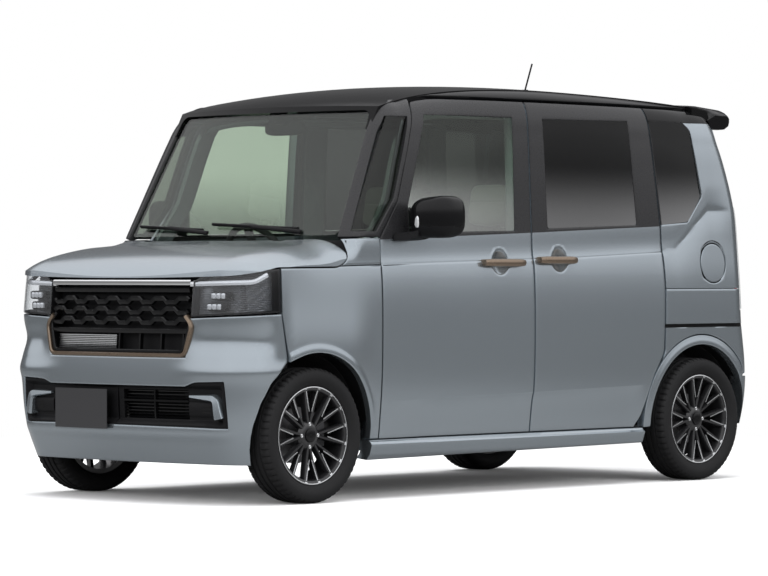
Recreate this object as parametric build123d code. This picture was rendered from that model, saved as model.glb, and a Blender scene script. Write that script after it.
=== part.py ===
"""Kei car: a tall boxy wagon with hinged front doors, sliding rear doors and a lift-up tailgate.

Millimetres. X points to the car's left, -Y is forward, Z is up.
The origin is on the ground, in the middle of the car.
The body is one outer form, made of plan outlines lofted upwards and cut by a crowned cap.
The same form at a smaller inset gives the inner faces, so each panel is a slice of a hollow shell.
"""
import math
import os

from build123d import *

# Overall sizes
BODY_LENGTH = 3395.0
BODY_WIDTH = 1475.0
WHEELBASE = 2520.0
FRONT_OVERHANG = 460.0
TRACK = 1305.0

# Wheels and tyres
TYRE_RADIUS = 281.0
TYRE_WIDTH = 165.0
RIM_RADIUS = 190.0
FLANGE_RADIUS = 207.0
RIM_WIDTH = 128.0
RIM_WALL = 8.0
SPOKE_PAIRS = 8
SPOKE_WIDTH = 15.0
SPOKE_DEPTH = 26.0
HUB_RADIUS = 62.0
DISC_RADIUS = 118.0
DISC_THICKNESS = 14.0
SPINDLE_RADIUS = 20.0
RUNNING_CLEARANCE = 0.05
FIT_GAP = 0.3

# Panels
PANEL_DEPTH = 55.0
HOOD_DEPTH = 30.0
MOVING_GAP = 8.0
FIXED_GAP = 4.0
FRAME_INSET = 61.0
FRAME_DEPTH = 26.0
GLASS_INSET = 10.0
GLASS_DEPTH = 5.0
ARCH_RADIUS = 342.0
LINER_WALL = 6.0

# Places that follow from those sizes
HALF_WIDTH = BODY_WIDTH / 2
NOSE_Y = -BODY_LENGTH / 2
TAIL_Y = BODY_LENGTH / 2
FRONT_AXLE_Y = NOSE_Y + FRONT_OVERHANG
REAR_AXLE_Y = FRONT_AXLE_Y + WHEELBASE
AXLE_Z = TYRE_RADIUS
WHEEL_X = TRACK / 2

# Heights of the main lines
SKIRT_Z = 165.0
SILL_Z = 252.0
FLOOR_Z = 250.0
FLOOR_DEPTH = 40.0
BELT_Z = 1115.0
DOOR_TOP_Z = 1712.0

# Side lines, counted from the axles
DOOR_FRONT_Y = FRONT_AXLE_Y + 400.0
FRONT_DOOR_LENGTH = 962.0
SLIDE_DOOR_LENGTH = 900.0
DOOR_SPLIT_Y = DOOR_FRONT_Y + FRONT_DOOR_LENGTH
SLIDE_REAR_Y = DOOR_SPLIT_Y + SLIDE_DOOR_LENGTH
BUMPER_SPLIT_Y = FRONT_AXLE_Y - 190.0
REAR_BUMPER_TOP_Z = 480.0
ROOF_REAR_Y = TAIL_Y - 375.0

# Windscreen plane: where it starts on the centre line, and how far back it goes for each millimetre up
SCREEN_BASE_Y = FRONT_AXLE_Y + 137.0
SCREEN_BASE_Z = 1080.0
SCREEN_SLOPE = 0.517

# Plan outlines of the lower body: height, side tuck, nose set-back, tail set-back
LOWER_ROWS = [
    (SKIRT_Z, 37.0, 60.0, 40.0),
    (300.0, 22.0, 14.0, 8.0),
    (480.0, 6.0, 0.0, 0.0),
    (720.0, 0.0, 8.0, 34.0),
    (930.0, 3.0, 26.0, 48.0),
    (BELT_Z, 13.5, 45.0, 54.0),
]
# Plan outlines of the cabin: height, side tuck, tail set-back, extra side bow
UPPER_ROWS = [
    (BELT_Z - 115, 12.0, 56.0, 0.0),
    (BELT_Z, 14.5, 55.0, 0.0),
    (1250.0, 20.0, 64.0, 6.0),
    (1400.0, 26.5, 100.0, 14.0),
    (1560.0, 35.0, 155.0, 22.0),
    (1660.0, 43.0, 190.0, 28.0),
    (1800.0, 55.0, 240.0, 34.0),
]
SIDE_BOW = 8.0
NOSE_BOW = 55.0
TAIL_BOW = 25.0
SCREEN_BOW = 80.0
NOSE_CORNER = 150.0
TAIL_CORNER = 100.0
SCREEN_CORNER = 80.0
SMALLEST_CORNER = 15.0

# Hood crown: distance behind the nose, crown height, height where it rolls out past the side
HOOD_ROWS = [
    (-33.0, 852.0, 752.0),
    (17.0, 924.0, 824.0),
    (57.0, 972.0, 868.0),
    (107.0, 1010.0, 898.0),
    (167.0, 1034.0, 916.0),
    (257.0, 1055.0, 930.0),
    (397.0, 1076.0, 940.0),
    (557.0, 1093.0, 946.0),
    (717.0, 1105.0, 950.0),
    (847.0, 1112.0, 954.0),
]
HOOD_FLAT = 560.0
HOOD_DROP = 14.0
# Roof crown: distance behind the nose, crown height, height where it rolls out past the side
ROOF_ROWS = [
    (597.0, 1500.0, 1400.0),
    (897.0, 1668.0, 1560.0),
    (1097.0, 1725.0, 1605.0),
    (1397.0, 1768.0, 1640.0),
    (1797.0, 1788.0, 1655.0),
    (2297.0, 1784.0, 1655.0),
    (2797.0, 1765.0, 1640.0),
    (3147.0, 1738.0, 1610.0),
    (3447.0, 1705.0, 1580.0),
]
ROOF_FLAT = 600.0
ROOF_DROP = 30.0
ROLL_OUT = 22.0
FAR = 3000.0


def plan_outline(z, half_width, nose_y, tail_y, bows, corners):
    """One level's outline: four shallow arcs with rounded corners."""
    side_bow, nose_bow, tail_bow = bows
    corner_x = half_width - side_bow
    middle_y = (nose_y + tail_y) / 2
    front_left = (corner_x, nose_y + nose_bow)
    front_right = (-corner_x, nose_y + nose_bow)
    rear_left = (corner_x, tail_y - tail_bow)
    rear_right = (-corner_x, tail_y - tail_bow)
    outline = Wire(
        [
            ThreePointArc(front_right, (0, nose_y), front_left),
            ThreePointArc(front_left, (half_width, middle_y), rear_left),
            ThreePointArc(rear_left, (0, tail_y), rear_right),
            ThreePointArc(rear_right, (-half_width, middle_y), front_right),
        ]
    )
    face = make_face(outline)
    face = fillet(face.vertices().sort_by(Axis.Y)[:2], corners[0])
    face = fillet(face.vertices().sort_by(Axis.Y)[-2:], corners[1])
    return Pos(0, 0, z) * face


def crown_section(y, crown_z, side_z, flat, drop, lower):
    """One cross-section of a cap: a shallow crown that rolls down past the body side."""
    outer = HALF_WIDTH + ROLL_OUT - lower
    flat = flat - lower
    crown_z = crown_z - lower
    side_z = side_z - lower
    edge_z = crown_z - drop
    slope = 2 * drop / flat
    outline = Wire(
        [
            ThreePointArc((-flat, edge_z), (0, crown_z), (flat, edge_z)),
            TangentArc((flat, edge_z), (outer, side_z), tangent=(1, -slope)),
            Line((outer, side_z), (outer, 0)),
            Line((outer, 0), (-outer, 0)),
            Line((-outer, 0), (-outer, side_z)),
            TangentArc((-flat, edge_z), (-outer, side_z), tangent=(-1, -slope)),
        ]
    )
    return Plane(origin=(0, y, 0), x_dir=(1, 0, 0), z_dir=(0, -1, 0)) * make_face(outline)


def corner(radius, inset):
    return max(radius - inset, SMALLEST_CORNER)


def hull(inset):
    """The car's outer form, taken in by inset on every wall. A form with an inset has no bottom wall."""
    lower_sections = []
    for z, tuck, nose_back, tail_back in LOWER_ROWS:
        low_z = z - inset if z == SKIRT_Z else z
        lower_sections.append(
            plan_outline(
                low_z,
                HALF_WIDTH - tuck - inset,
                NOSE_Y + nose_back + inset,
                TAIL_Y - tail_back - inset,
                (SIDE_BOW, NOSE_BOW, TAIL_BOW),
                (corner(NOSE_CORNER, inset), corner(TAIL_CORNER, inset)),
            )
        )
    lower = loft(lower_sections)
    hood_cap = loft(
        [crown_section(NOSE_Y + y, z, side, HOOD_FLAT, HOOD_DROP, inset) for y, z, side in HOOD_ROWS]
    )
    cap_end_y = NOSE_Y + HOOD_ROWS[-1][0]
    behind_hood = Pos(0, cap_end_y, 0) * Box(FAR, FAR, FAR, align=(Align.CENTER, Align.MIN, Align.CENTER))
    upper_sections = []
    for z, tuck, tail_back, bow in UPPER_ROWS:
        upper_sections.append(
            plan_outline(
                z,
                HALF_WIDTH - tuck - inset,
                SCREEN_BASE_Y + (z - SCREEN_BASE_Z) * SCREEN_SLOPE + inset,
                TAIL_Y - tail_back - inset,
                (SIDE_BOW + bow, SCREEN_BOW, TAIL_BOW),
                (corner(SCREEN_CORNER, inset), corner(TAIL_CORNER, inset)),
            )
        )
    upper = loft(upper_sections)
    roof_cap = loft(
        [crown_section(NOSE_Y + y, z, side, ROOF_FLAT, ROOF_DROP, inset) for y, z, side in ROOF_ROWS]
    )
    nose = lower & hood_cap
    return nose.fuse(lower & behind_hood, upper & roof_cap)


def outline_face(points, radii):
    """A closed outline with each corner rounded by its own radius; a radius of 0 stays sharp."""
    face = make_face(Polyline(*points, close=True))
    for point, radius in zip(points, radii):
        if radius:
            vertex = face.vertices().sort_by_distance((point[0], point[1], 0))[0]
            face = fillet([vertex], radius)
    return face


def side_prism(points, radii, inner_x=0.0, grow=0.0):
    """A cutter for the left side: an outline in the Y-Z plane carried out along X."""
    face = outline_face(points, radii)
    if grow:
        face = offset(face, grow)
    return Pos(inner_x, 0, 0) * extrude(Plane.YZ * face, FAR)


def front_prism(points, radii, y_start, y_end, grow=0.0):
    """A cutter for the front or rear: an outline in the X-Z plane carried along Y."""
    face = outline_face(points, radii)
    if grow:
        face = offset(face, grow)
    plane = Plane(origin=(0, y_end, 0), x_dir=(1, 0, 0), z_dir=(0, -1, 0))
    return extrude(plane * face, y_end - y_start)


def block(x0, x1, y0, y1, z0, z1):
    return Pos((x0 + x1) / 2, (y0 + y1) / 2, (z0 + z1) / 2) * Box(x1 - x0, y1 - y0, z1 - z0)


def rod(radius, start, end):
    """A round bar between two points."""
    line = Vector(*end) - Vector(*start)
    plane = Plane(origin=start, z_dir=line.normalized())
    return plane * Cylinder(radius, line.length, align=(Align.CENTER, Align.CENTER, Align.MIN))


def right_of(shape):
    return mirror(shape, about=Plane.YZ)


def both_sides(shape):
    return Compound([*shape.solids(), *right_of(shape).solids()])


def save(name, shape):
    export_step(Compound(shape.solids()), f"parts/{name}.step")
    print(name, len(shape.solids()), round(shape.volume / 1e6, 2))


# Outlines seen from the side, as (y, z)
FRONT_DOOR = [
    (DOOR_FRONT_Y, SILL_Z),
    (DOOR_FRONT_Y, BELT_Z - 10),
    (DOOR_FRONT_Y + 117, BELT_Z + 141),
    (DOOR_FRONT_Y + 262, DOOR_TOP_Z - 40),
    (DOOR_FRONT_Y + 300, DOOR_TOP_Z),
    (DOOR_SPLIT_Y, DOOR_TOP_Z),
    (DOOR_SPLIT_Y, SILL_Z),
]
FRONT_DOOR_RADII = [25, 40, 120, 40, 60, 0, 12]
SLIDE_DOOR = [
    (DOOR_SPLIT_Y, SILL_Z),
    (DOOR_SPLIT_Y, DOOR_TOP_Z),
    (SLIDE_REAR_Y - 70, DOOR_TOP_Z),
    (SLIDE_REAR_Y - 12, BELT_Z + 50),
    (SLIDE_REAR_Y, 875),
    (SLIDE_REAR_Y - 8, 590),
    (SLIDE_REAR_Y - 70, 494),
    (SLIDE_REAR_Y - 150, 305),
    (SLIDE_REAR_Y - 190, SILL_Z),
]
SLIDE_DOOR_RADII = [12, 0, 40, 0, 0, 60, 0, 60, 30]
FRONT_GLASS = [
    (DOOR_FRONT_Y + 185, BELT_Z + 8),
    (DOOR_FRONT_Y + 185, BELT_Z + 126),
    (DOOR_FRONT_Y + 322, DOOR_TOP_Z - 80),
    (DOOR_SPLIT_Y - 100, DOOR_TOP_Z - 80),
    (DOOR_SPLIT_Y - 112, BELT_Z + 22),
]
FRONT_GLASS_RADII = [10, 40, 25, 15, 10]
SLIDE_GLASS = [
    (DOOR_SPLIT_Y + 108, BELT_Z + 33),
    (DOOR_SPLIT_Y + 100, DOOR_TOP_Z - 82),
    (SLIDE_REAR_Y - 214, DOOR_TOP_Z - 74),
    (SLIDE_REAR_Y - 182, BELT_Z + 53),
]
SLIDE_GLASS_RADII = [12, 12, 12, 12]
QUARTER_GLASS = [
    (SLIDE_REAR_Y - 2, BELT_Z + 57),
    (SLIDE_REAR_Y - 58, DOOR_TOP_Z - 68),
    (SLIDE_REAR_Y + 198, DOOR_TOP_Z - 68),
    (SLIDE_REAR_Y + 247, DOOR_TOP_Z - 100),
    (SLIDE_REAR_Y + 298, BELT_Z + 190),
    (SLIDE_REAR_Y + 190, BELT_Z + 72),
]
QUARTER_GLASS_RADII = [8, 8, 20, 20, 50, 40]
CORNER_GLASS = [
    (DOOR_FRONT_Y - 165, BELT_Z + 12),
    (DOOR_FRONT_Y - 25, BELT_Z + 12),
    (DOOR_FRONT_Y + 92, BELT_Z + 150),
    (DOOR_FRONT_Y + 222, DOOR_TOP_Z - 92),
    (DOOR_FRONT_Y + 90, DOOR_TOP_Z - 92),
]
CORNER_GLASS_RADII = [12, 15, 60, 12, 12]
HOOD_REAR_SIDE_Y = FRONT_AXLE_Y + 212.0
HOOD_LINE_Z = 977.0
HOOD_CORNER_RADIUS = 96.0
HOOD_SIDE = [
    (NOSE_Y - 100, 918.0),
    (NOSE_Y + 10, 925.0),
    (NOSE_Y + 255, 972.0),
    (HOOD_REAR_SIDE_Y, HOOD_LINE_Z),
    (HOOD_REAR_SIDE_Y, BELT_Z + 200),
    (NOSE_Y - 100, BELT_Z + 200),
]
HOOD_SIDE_RADII = [0, 60, 60, HOOD_CORNER_RADIUS, 0, 0]
FENDER = [
    (BUMPER_SPLIT_Y + 32, 560.0),
    (BUMPER_SPLIT_Y, 780.0),
    (BUMPER_SPLIT_Y - 8, BELT_Z - 12),
    (DOOR_FRONT_Y, BELT_Z - 12),
    (DOOR_FRONT_Y, SILL_Z),
    (FRONT_AXLE_Y, SILL_Z),
]
FENDER_RADII = [0, 0, 0, 0, 0, 0]

# Outlines seen from the front or rear, as (x, z)
SCREEN = [(-640, BELT_Z - 5), (-575, 1645), (575, 1645), (640, BELT_Z - 5)]
SCREEN_RADII = [30, 40, 40, 30]
PILLAR = [(690, BELT_Z - 100), (632, DOOR_TOP_Z), (FAR / 2, DOOR_TOP_Z), (FAR / 2, BELT_Z - 100)]
PILLAR_RADII = [0, 0, 0, 0]
GRILLE = [
    (-424, 960),
    (-424, 770),
    (-446, 735),
    (-404, 608),
    (404, 608),
    (446, 735),
    (424, 770),
    (424, 960),
]
GRILLE_RADII = [0, 15, 15, 30, 30, 15, 15, 0]
HEADLAMP_Z = 772.0
HEADLAMP = [(428, 1300), (428, HEADLAMP_Z), (FAR / 2, HEADLAMP_Z), (FAR / 2, 1300)]
HEADLAMP_RADII = [0, 10, 0, 0]
LOWER_GRILLE = [
    (-618, 318),
    (-618, 500),
    (-520, 505),
    (-470, 488),
    (470, 488),
    (520, 505),
    (618, 500),
    (618, 318),
]
LOWER_GRILLE_RADII = [30, 20, 10, 15, 15, 10, 20, 30]
TAIL_LAMP = [(598, 782), (598, 1262), (FAR / 2, 1262), (FAR / 2, 782)]
TAIL_LAMP_RADII = [15, 15, 0, 0]
TAIL_LAMP_FRONT_Y = TAIL_Y - 118.0
TAILGATE = [
    (-590, REAR_BUMPER_TOP_Z),
    (-590, 1275),
    (-660, 1290),
    (-640, DOOR_TOP_Z - 60),
    (-640, 1900),
    (640, 1900),
    (640, DOOR_TOP_Z - 60),
    (660, 1290),
    (590, 1275),
    (590, REAR_BUMPER_TOP_Z),
]
TAILGATE_RADII = [40, 0, 0, 0, 0, 0, 0, 0, 0, 40]
REAR_GLASS = [(-565, BELT_Z + 25), (-540, 1580), (540, 1580), (565, BELT_Z + 25)]
REAR_GLASS_RADII = [60, 60, 60, 60]
ROOF_SEAM_X = 606.0


def prism_pair(points, radii, grow=0.0):
    cutter = side_prism(points, radii, grow=grow)
    return cutter + right_of(cutter)


def wheel_cylinders(axle_y, radius, inner_x, outer_x=HALF_WIDTH + 60):
    left = Pos((inner_x + outer_x) / 2, axle_y, AXLE_Z) * Rot(0, 90, 0) * Cylinder(radius, outer_x - inner_x)
    return left + right_of(left)


FRONT_HOUSE_X = 396.0
REAR_HOUSE_X = 480.0
front_wheel_room = wheel_cylinders(FRONT_AXLE_Y, ARCH_RADIUS, FRONT_HOUSE_X)
rear_wheel_room = wheel_cylinders(REAR_AXLE_Y, ARCH_RADIUS, REAR_HOUSE_X)
wheel_rooms = front_wheel_room + rear_wheel_room

outer_form = hull(0)
glass_outer_form = hull(GLASS_INSET)
glass_inner_form = hull(GLASS_INSET + GLASS_DEPTH)
hood_inner_form = hull(HOOD_DEPTH)
panel_inner_form = hull(PANEL_DEPTH)
seat_form = hull(FRAME_INSET - FIT_GAP)
frame_outer_form = hull(FRAME_INSET)
frame_inner_form = hull(FRAME_INSET + FRAME_DEPTH)
cabin_form = hull(FRAME_INSET + FRAME_DEPTH + FIT_GAP)
shell = outer_form - panel_inner_form - wheel_rooms
fixed_shell = outer_form - seat_form - wheel_rooms
glass_sheet = glass_outer_form - glass_inner_form

# Regions shared by neighbouring panels
half = MOVING_GAP / 2
fixed_half = FIXED_GAP / 2
front_door_cut = prism_pair(FRONT_DOOR, FRONT_DOOR_RADII, grow=half)
slide_door_cut = prism_pair(SLIDE_DOOR, SLIDE_DOOR_RADII, grow=fixed_half)
hood_cut = prism_pair(HOOD_SIDE, HOOD_SIDE_RADII, grow=half)
fender_cut = prism_pair(FENDER, FENDER_RADII, grow=fixed_half)
nose_region = block(-FAR, FAR, NOSE_Y - 100, FRONT_AXLE_Y, 0, HEADLAMP_Z - FIXED_GAP)
screen_cut = front_prism(SCREEN, SCREEN_RADII, SCREEN_BASE_Y - 300, DOOR_SPLIT_Y - 300)
headlamp_left = front_prism(HEADLAMP, HEADLAMP_RADII, NOSE_Y - 100, BUMPER_SPLIT_Y)
headlamp_region = headlamp_left + right_of(headlamp_left)
headlamp_left_cut = front_prism(HEADLAMP, HEADLAMP_RADII, NOSE_Y - 100, BUMPER_SPLIT_Y, grow=fixed_half)
headlamp_cut = headlamp_left_cut + right_of(headlamp_left_cut)
grille_cut = front_prism(GRILLE, GRILLE_RADII, NOSE_Y - 100, FRONT_AXLE_Y - 200)
lower_grille_cut = front_prism(LOWER_GRILLE, LOWER_GRILLE_RADII, NOSE_Y - 100, FRONT_AXLE_Y - 200)
tail_lamp_left = front_prism(TAIL_LAMP, TAIL_LAMP_RADII, TAIL_LAMP_FRONT_Y, TAIL_Y + 100)
tail_lamp_region = tail_lamp_left + right_of(tail_lamp_left)
tail_lamp_left_cut = front_prism(TAIL_LAMP, TAIL_LAMP_RADII, TAIL_LAMP_FRONT_Y, TAIL_Y + 100, grow=fixed_half)
tail_lamp_cut = tail_lamp_left_cut + right_of(tail_lamp_left_cut)
tailgate_cut = front_prism(TAILGATE, TAILGATE_RADII, ROOF_REAR_Y - half, TAIL_Y + 100, grow=half)
rear_bumper_region = block(-FAR, FAR, REAR_AXLE_Y, TAIL_Y + 100, 0, REAR_BUMPER_TOP_Z - half)
roof_region = block(-ROOF_SEAM_X, ROOF_SEAM_X, SCREEN_BASE_Y, ROOF_REAR_Y - MOVING_GAP, 1560, 2000)
roof_cut = block(
    -ROOF_SEAM_X - fixed_half, ROOF_SEAM_X + fixed_half, SCREEN_BASE_Y - FAR, ROOF_REAR_Y, 1560, 2000
)
front_glass_cut = prism_pair(FRONT_GLASS, FRONT_GLASS_RADII)
slide_glass_cut = prism_pair(SLIDE_GLASS, SLIDE_GLASS_RADII)
quarter_glass_cut = prism_pair(QUARTER_GLASS, QUARTER_GLASS_RADII)
beside_screen = front_prism(PILLAR, PILLAR_RADII, SCREEN_BASE_Y - 300, DOOR_SPLIT_Y)
corner_glass_left = side_prism(CORNER_GLASS, CORNER_GLASS_RADII) & beside_screen
corner_glass_cut = corner_glass_left + right_of(corner_glass_left)
rear_glass_cut = front_prism(REAR_GLASS, REAR_GLASS_RADII, ROOF_REAR_Y, TAIL_Y + 100)
left_half = block(0, FAR, -FAR, FAR, -100, FAR)


def glass_pane(points, radii):
    """Left pane of side glass, a little smaller than its opening all round."""
    return glass_sheet & side_prism(points, radii, grow=-FIT_GAP)


os.makedirs("parts", exist_ok=True)

# Hinges
PIN_RADIUS = 6.0
LEAF_HALF = 9.0
LEAF_LENGTH = 44.0
PIN_LENGTH = 100.0
LEAF_CLEARANCE = 6.0


def hinge(plane, reach, notch_reach, scale=1.0):
    """A pin along the plane's Z axis on a leaf that reaches out along the plane's X axis.

    Returns the fixed leaf with its pin, and the notch and bore that the moving panel needs.
    """
    half_leaf = LEAF_HALF * scale
    length = LEAF_LENGTH * scale
    pin_length = PIN_LENGTH * scale
    pin_radius = PIN_RADIUS * scale
    leaf = Pos(reach / 2, 0, 0) * Box(reach, 2 * half_leaf, length)
    pin = Cylinder(pin_radius, pin_length)
    knuckle = Cylinder(half_leaf, length)
    notch_size = 2 * (half_leaf + LEAF_CLEARANCE)
    notch = Box(2 * notch_reach, notch_size, length + 2 * LEAF_CLEARANCE)
    bore = Cylinder(pin_radius + RUNNING_CLEARANCE, pin_length + 2 * FIT_GAP)
    return plane * (leaf + pin + knuckle), plane * (notch + bore)


# Hand room behind the door handles
CUP_RADIUS = 90.0
CUP_OUT = 74.0
FRONT_CUP_Y = DOOR_SPLIT_Y - 218.0
FRONT_CUP_Z = 996.0
SLIDE_CUP_Y = DOOR_SPLIT_Y + 170.0
SLIDE_CUP_Z = 1010.0


def hand_cup(y, z):
    """A ball that bites a shallow round hollow out of the left door's skin."""
    return Pos(HALF_WIDTH - 9 + CUP_OUT, y, z) * Sphere(CUP_RADIUS)


# Front doors, hung on two hinges each at the front edge
DOOR_HINGE_Z = (470.0, 860.0)
DOOR_AXIS_X = HALF_WIDTH - 9.0
DOOR_AXIS_Y = DOOR_FRONT_Y + half + 9.0
door_left = shell & side_prism(FRONT_DOOR, FRONT_DOOR_RADII, inner_x=ROOF_SEAM_X + MOVING_GAP, grow=-half)
door_left = door_left - front_glass_cut - hand_cup(FRONT_CUP_Y, FRONT_CUP_Z)
door_leaves = []
for hinge_z in DOOR_HINGE_Z:
    place = Plane(origin=(DOOR_AXIS_X, DOOR_AXIS_Y, hinge_z), x_dir=(-1, 0, 0), z_dir=(0, 0, 1))
    leaf, room = hinge(place, FRAME_INSET + FRAME_DEPTH / 2, FRAME_INSET + FRAME_DEPTH)
    door_leaves.append(leaf)
    door_left = door_left - room
save("door_left", door_left)
save("door_right", right_of(door_left))
save("door_glass_left", glass_pane(FRONT_GLASS, FRONT_GLASS_RADII))
save("door_glass_right", right_of(glass_pane(FRONT_GLASS, FRONT_GLASS_RADII)))

# Sliding doors, shut
slide_left = fixed_shell & side_prism(
    SLIDE_DOOR, SLIDE_DOOR_RADII, inner_x=ROOF_SEAM_X + MOVING_GAP, grow=-fixed_half
)
slide_left = slide_left - slide_glass_cut - hand_cup(SLIDE_CUP_Y, SLIDE_CUP_Z)
save("slide_doors", both_sides(slide_left))
save("slide_glass", both_sides(glass_pane(SLIDE_GLASS, SLIDE_GLASS_RADII)))

# Side frames: pillars, roof rail, sill, skirt and rear quarter, with a ring inside that the doors shut on
DOOR_FLANGE = 52.0
FRAME_FRONT_Y = DOOR_FRONT_Y - 45.0
FRAME_SIDE_X = 566.0
frame_band = block(FRAME_SIDE_X, FAR, FRAME_FRONT_Y, FAR, 0, FAR)
frame_band = frame_band + block(FRAME_SIDE_X - 60, FAR, -FAR, FAR, BELT_Z - 10, 1560)
frame_band = frame_band + block(FRAME_SIDE_X - 60, FAR, -FAR, DOOR_SPLIT_Y, 1500, FAR)
side_left = (outer_form - frame_inner_form - wheel_rooms) & frame_band
rebates = front_door_cut + slide_door_cut + fender_cut + roof_cut + tailgate_cut + tail_lamp_cut
rebates = rebates + rear_bumper_region
side_left = side_left - (rebates - frame_outer_form)
side_left = side_left - prism_pair(FRONT_DOOR, FRONT_DOOR_RADII, grow=-DOOR_FLANGE)
side_left = side_left - prism_pair(SLIDE_DOOR, SLIDE_DOOR_RADII, grow=-DOOR_FLANGE)
side_left = side_left - quarter_glass_cut - corner_glass_cut - screen_cut - hood_cut
side_left = side_left - front_prism(TAILGATE, TAILGATE_RADII, ROOF_REAR_Y, TAIL_Y + 100, grow=-20)
side_left = side_left - block(-FAR, FAR, -FAR, FRONT_AXLE_Y, 0, BELT_Z - 10)
for leaf in door_leaves:
    side_left = side_left + leaf
side_right = right_of(side_left)

# Fuel lid on the left rear quarter, on a small hinge at its front edge
LID_RADIUS = 88.0
LID_Y = REAR_AXLE_Y + 92.0
LID_Z = 998.0
LID_GAP = 7.0
lid_stick = Pos(0, LID_Y, LID_Z) * Rot(0, 90, 0) * Cylinder(LID_RADIUS, FAR)
pocket_stick = Pos(0, LID_Y, LID_Z) * Rot(0, 90, 0) * Cylinder(LID_RADIUS + LID_GAP, FAR)
fuel_lid = (outer_form - glass_inner_form) & lid_stick & left_half
side_left = side_left - ((pocket_stick & left_half) - panel_inner_form)
LID_AXIS_X = HALF_WIDTH - 12.5
LID_AXIS_Y = LID_Y - LID_RADIUS + 16.0
LID_NOTCH_HALF = 17.0
lid_place = Plane(origin=(LID_AXIS_X, LID_AXIS_Y, LID_Z), x_dir=(-1, 0, 0), z_dir=(0, 0, 1))
lid_leaf, lid_room = hinge(lid_place, PANEL_DEPTH + 5, PANEL_DEPTH, scale=0.4)
lid_notch_y = LID_Y - LID_RADIUS - LID_GAP
lid_notch = block(0, FAR, lid_notch_y, LID_AXIS_Y, LID_Z - LID_NOTCH_HALF, LID_Z + LID_NOTCH_HALF)
fuel_lid = fuel_lid - lid_room - lid_notch
side_left = side_left + lid_leaf
save("fuel_lid", fuel_lid)
save("side_frames", Compound([*side_left.solids(), *side_right.solids()]))

# Fixed glass
corner_pane = glass_pane(CORNER_GLASS, CORNER_GLASS_RADII) & (Pos(FIT_GAP, 0, 0) * beside_screen)
quarter_pane = glass_pane(QUARTER_GLASS, QUARTER_GLASS_RADII)
save("quarter_glass", both_sides(Compound([*corner_pane.solids(), *quarter_pane.solids()])))
screen_hole = front_prism(SCREEN, SCREEN_RADII, SCREEN_BASE_Y - 300, DOOR_SPLIT_Y - 300, grow=-FIT_GAP)
save("windscreen", glass_sheet & screen_hole)

# Front fenders
fenders = fixed_shell & prism_pair(FENDER, FENDER_RADII, grow=-fixed_half)
fenders = fenders - hood_cut - front_door_cut - headlamp_cut
fenders = fenders - block(-FRAME_SIDE_X, FRAME_SIDE_X, -FAR, FAR, 0, FAR)
save("front_fenders", fenders)

# Hood, with its rear edge bowed like the foot of the windscreen and its rear corners round about the hinges
HOOD_REAR_CENTRE_Y = SCREEN_BASE_Y - 62.0
HOOD_HINGE_X = 400.0
HOOD_AXIS_Y = HOOD_REAR_SIDE_Y - HOOD_CORNER_RADIUS
HOOD_AXIS_Z = HOOD_LINE_Z + HOOD_CORNER_RADIUS
COWL_STEP_X = HOOD_HINGE_X + 55.0


def ahead_of_screen(shift):
    """Everything ahead of the hood's bowed rear edge, moved by shift."""
    side_y = HOOD_REAR_SIDE_Y + shift
    middle = (0, HOOD_REAR_CENTRE_Y + shift)
    bow = ThreePointArc((-HALF_WIDTH, side_y), middle, (HALF_WIDTH, side_y))
    rest = Polyline((HALF_WIDTH, side_y), (HALF_WIDTH, -FAR), (-HALF_WIDTH, -FAR), (-HALF_WIDTH, side_y))
    return extrude(make_face(Wire([bow, *rest.edges()])), FAR)


hood = (outer_form - hood_inner_form) & prism_pair(HOOD_SIDE, HOOD_SIDE_RADII, grow=-half)
hood = hood & ahead_of_screen(0)
cowl = (panel_inner_form - seat_form) - ahead_of_screen(-60)
cowl = cowl & block(
    -FRAME_SIDE_X + FIXED_GAP, FRAME_SIDE_X - FIXED_GAP, -FAR, SCREEN_BASE_Y + 60, 980, BELT_Z - 40
)
cowl_step = block(COWL_STEP_X, FAR, -FAR, HOOD_AXIS_Y + HOOD_DEPTH, 0, FAR)
cowl = cowl - cowl_step - right_of(cowl_step)
for side in (-1, 1):
    place = Plane(origin=(side * HOOD_HINGE_X, HOOD_AXIS_Y, HOOD_AXIS_Z), x_dir=(0, 0, -1), z_dir=(1, 0, 0))
    leaf, room = hinge(place, PANEL_DEPTH - HOOD_DEPTH + 25, HOOD_DEPTH + 10)
    hood = hood - room
    cowl = cowl + leaf
save("hood", hood)
save("cowl", cowl)

# Bumpers
nose_panel = fixed_shell & nose_region
front_bumper = nose_panel - fender_cut - hood_cut - headlamp_cut
front_bumper = front_bumper - grille_cut - lower_grille_cut
save("front_bumper", front_bumper)
REAR_BUMPER_LOW_Z = 250.0
rear_bumper = fixed_shell & block(
    -FAR, FAR, REAR_AXLE_Y, TAIL_Y + 100, REAR_BUMPER_LOW_Z, REAR_BUMPER_TOP_Z - half - FIXED_GAP
)
save("rear_bumper", rear_bumper)

# Lamps
headlamps = (fixed_shell & headlamp_region) - hood_cut - fender_cut
save("headlamps", headlamps)
tail_lamps = (fixed_shell & tail_lamp_region) - tailgate_cut
save("tail_lamps", tail_lamps)

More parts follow.
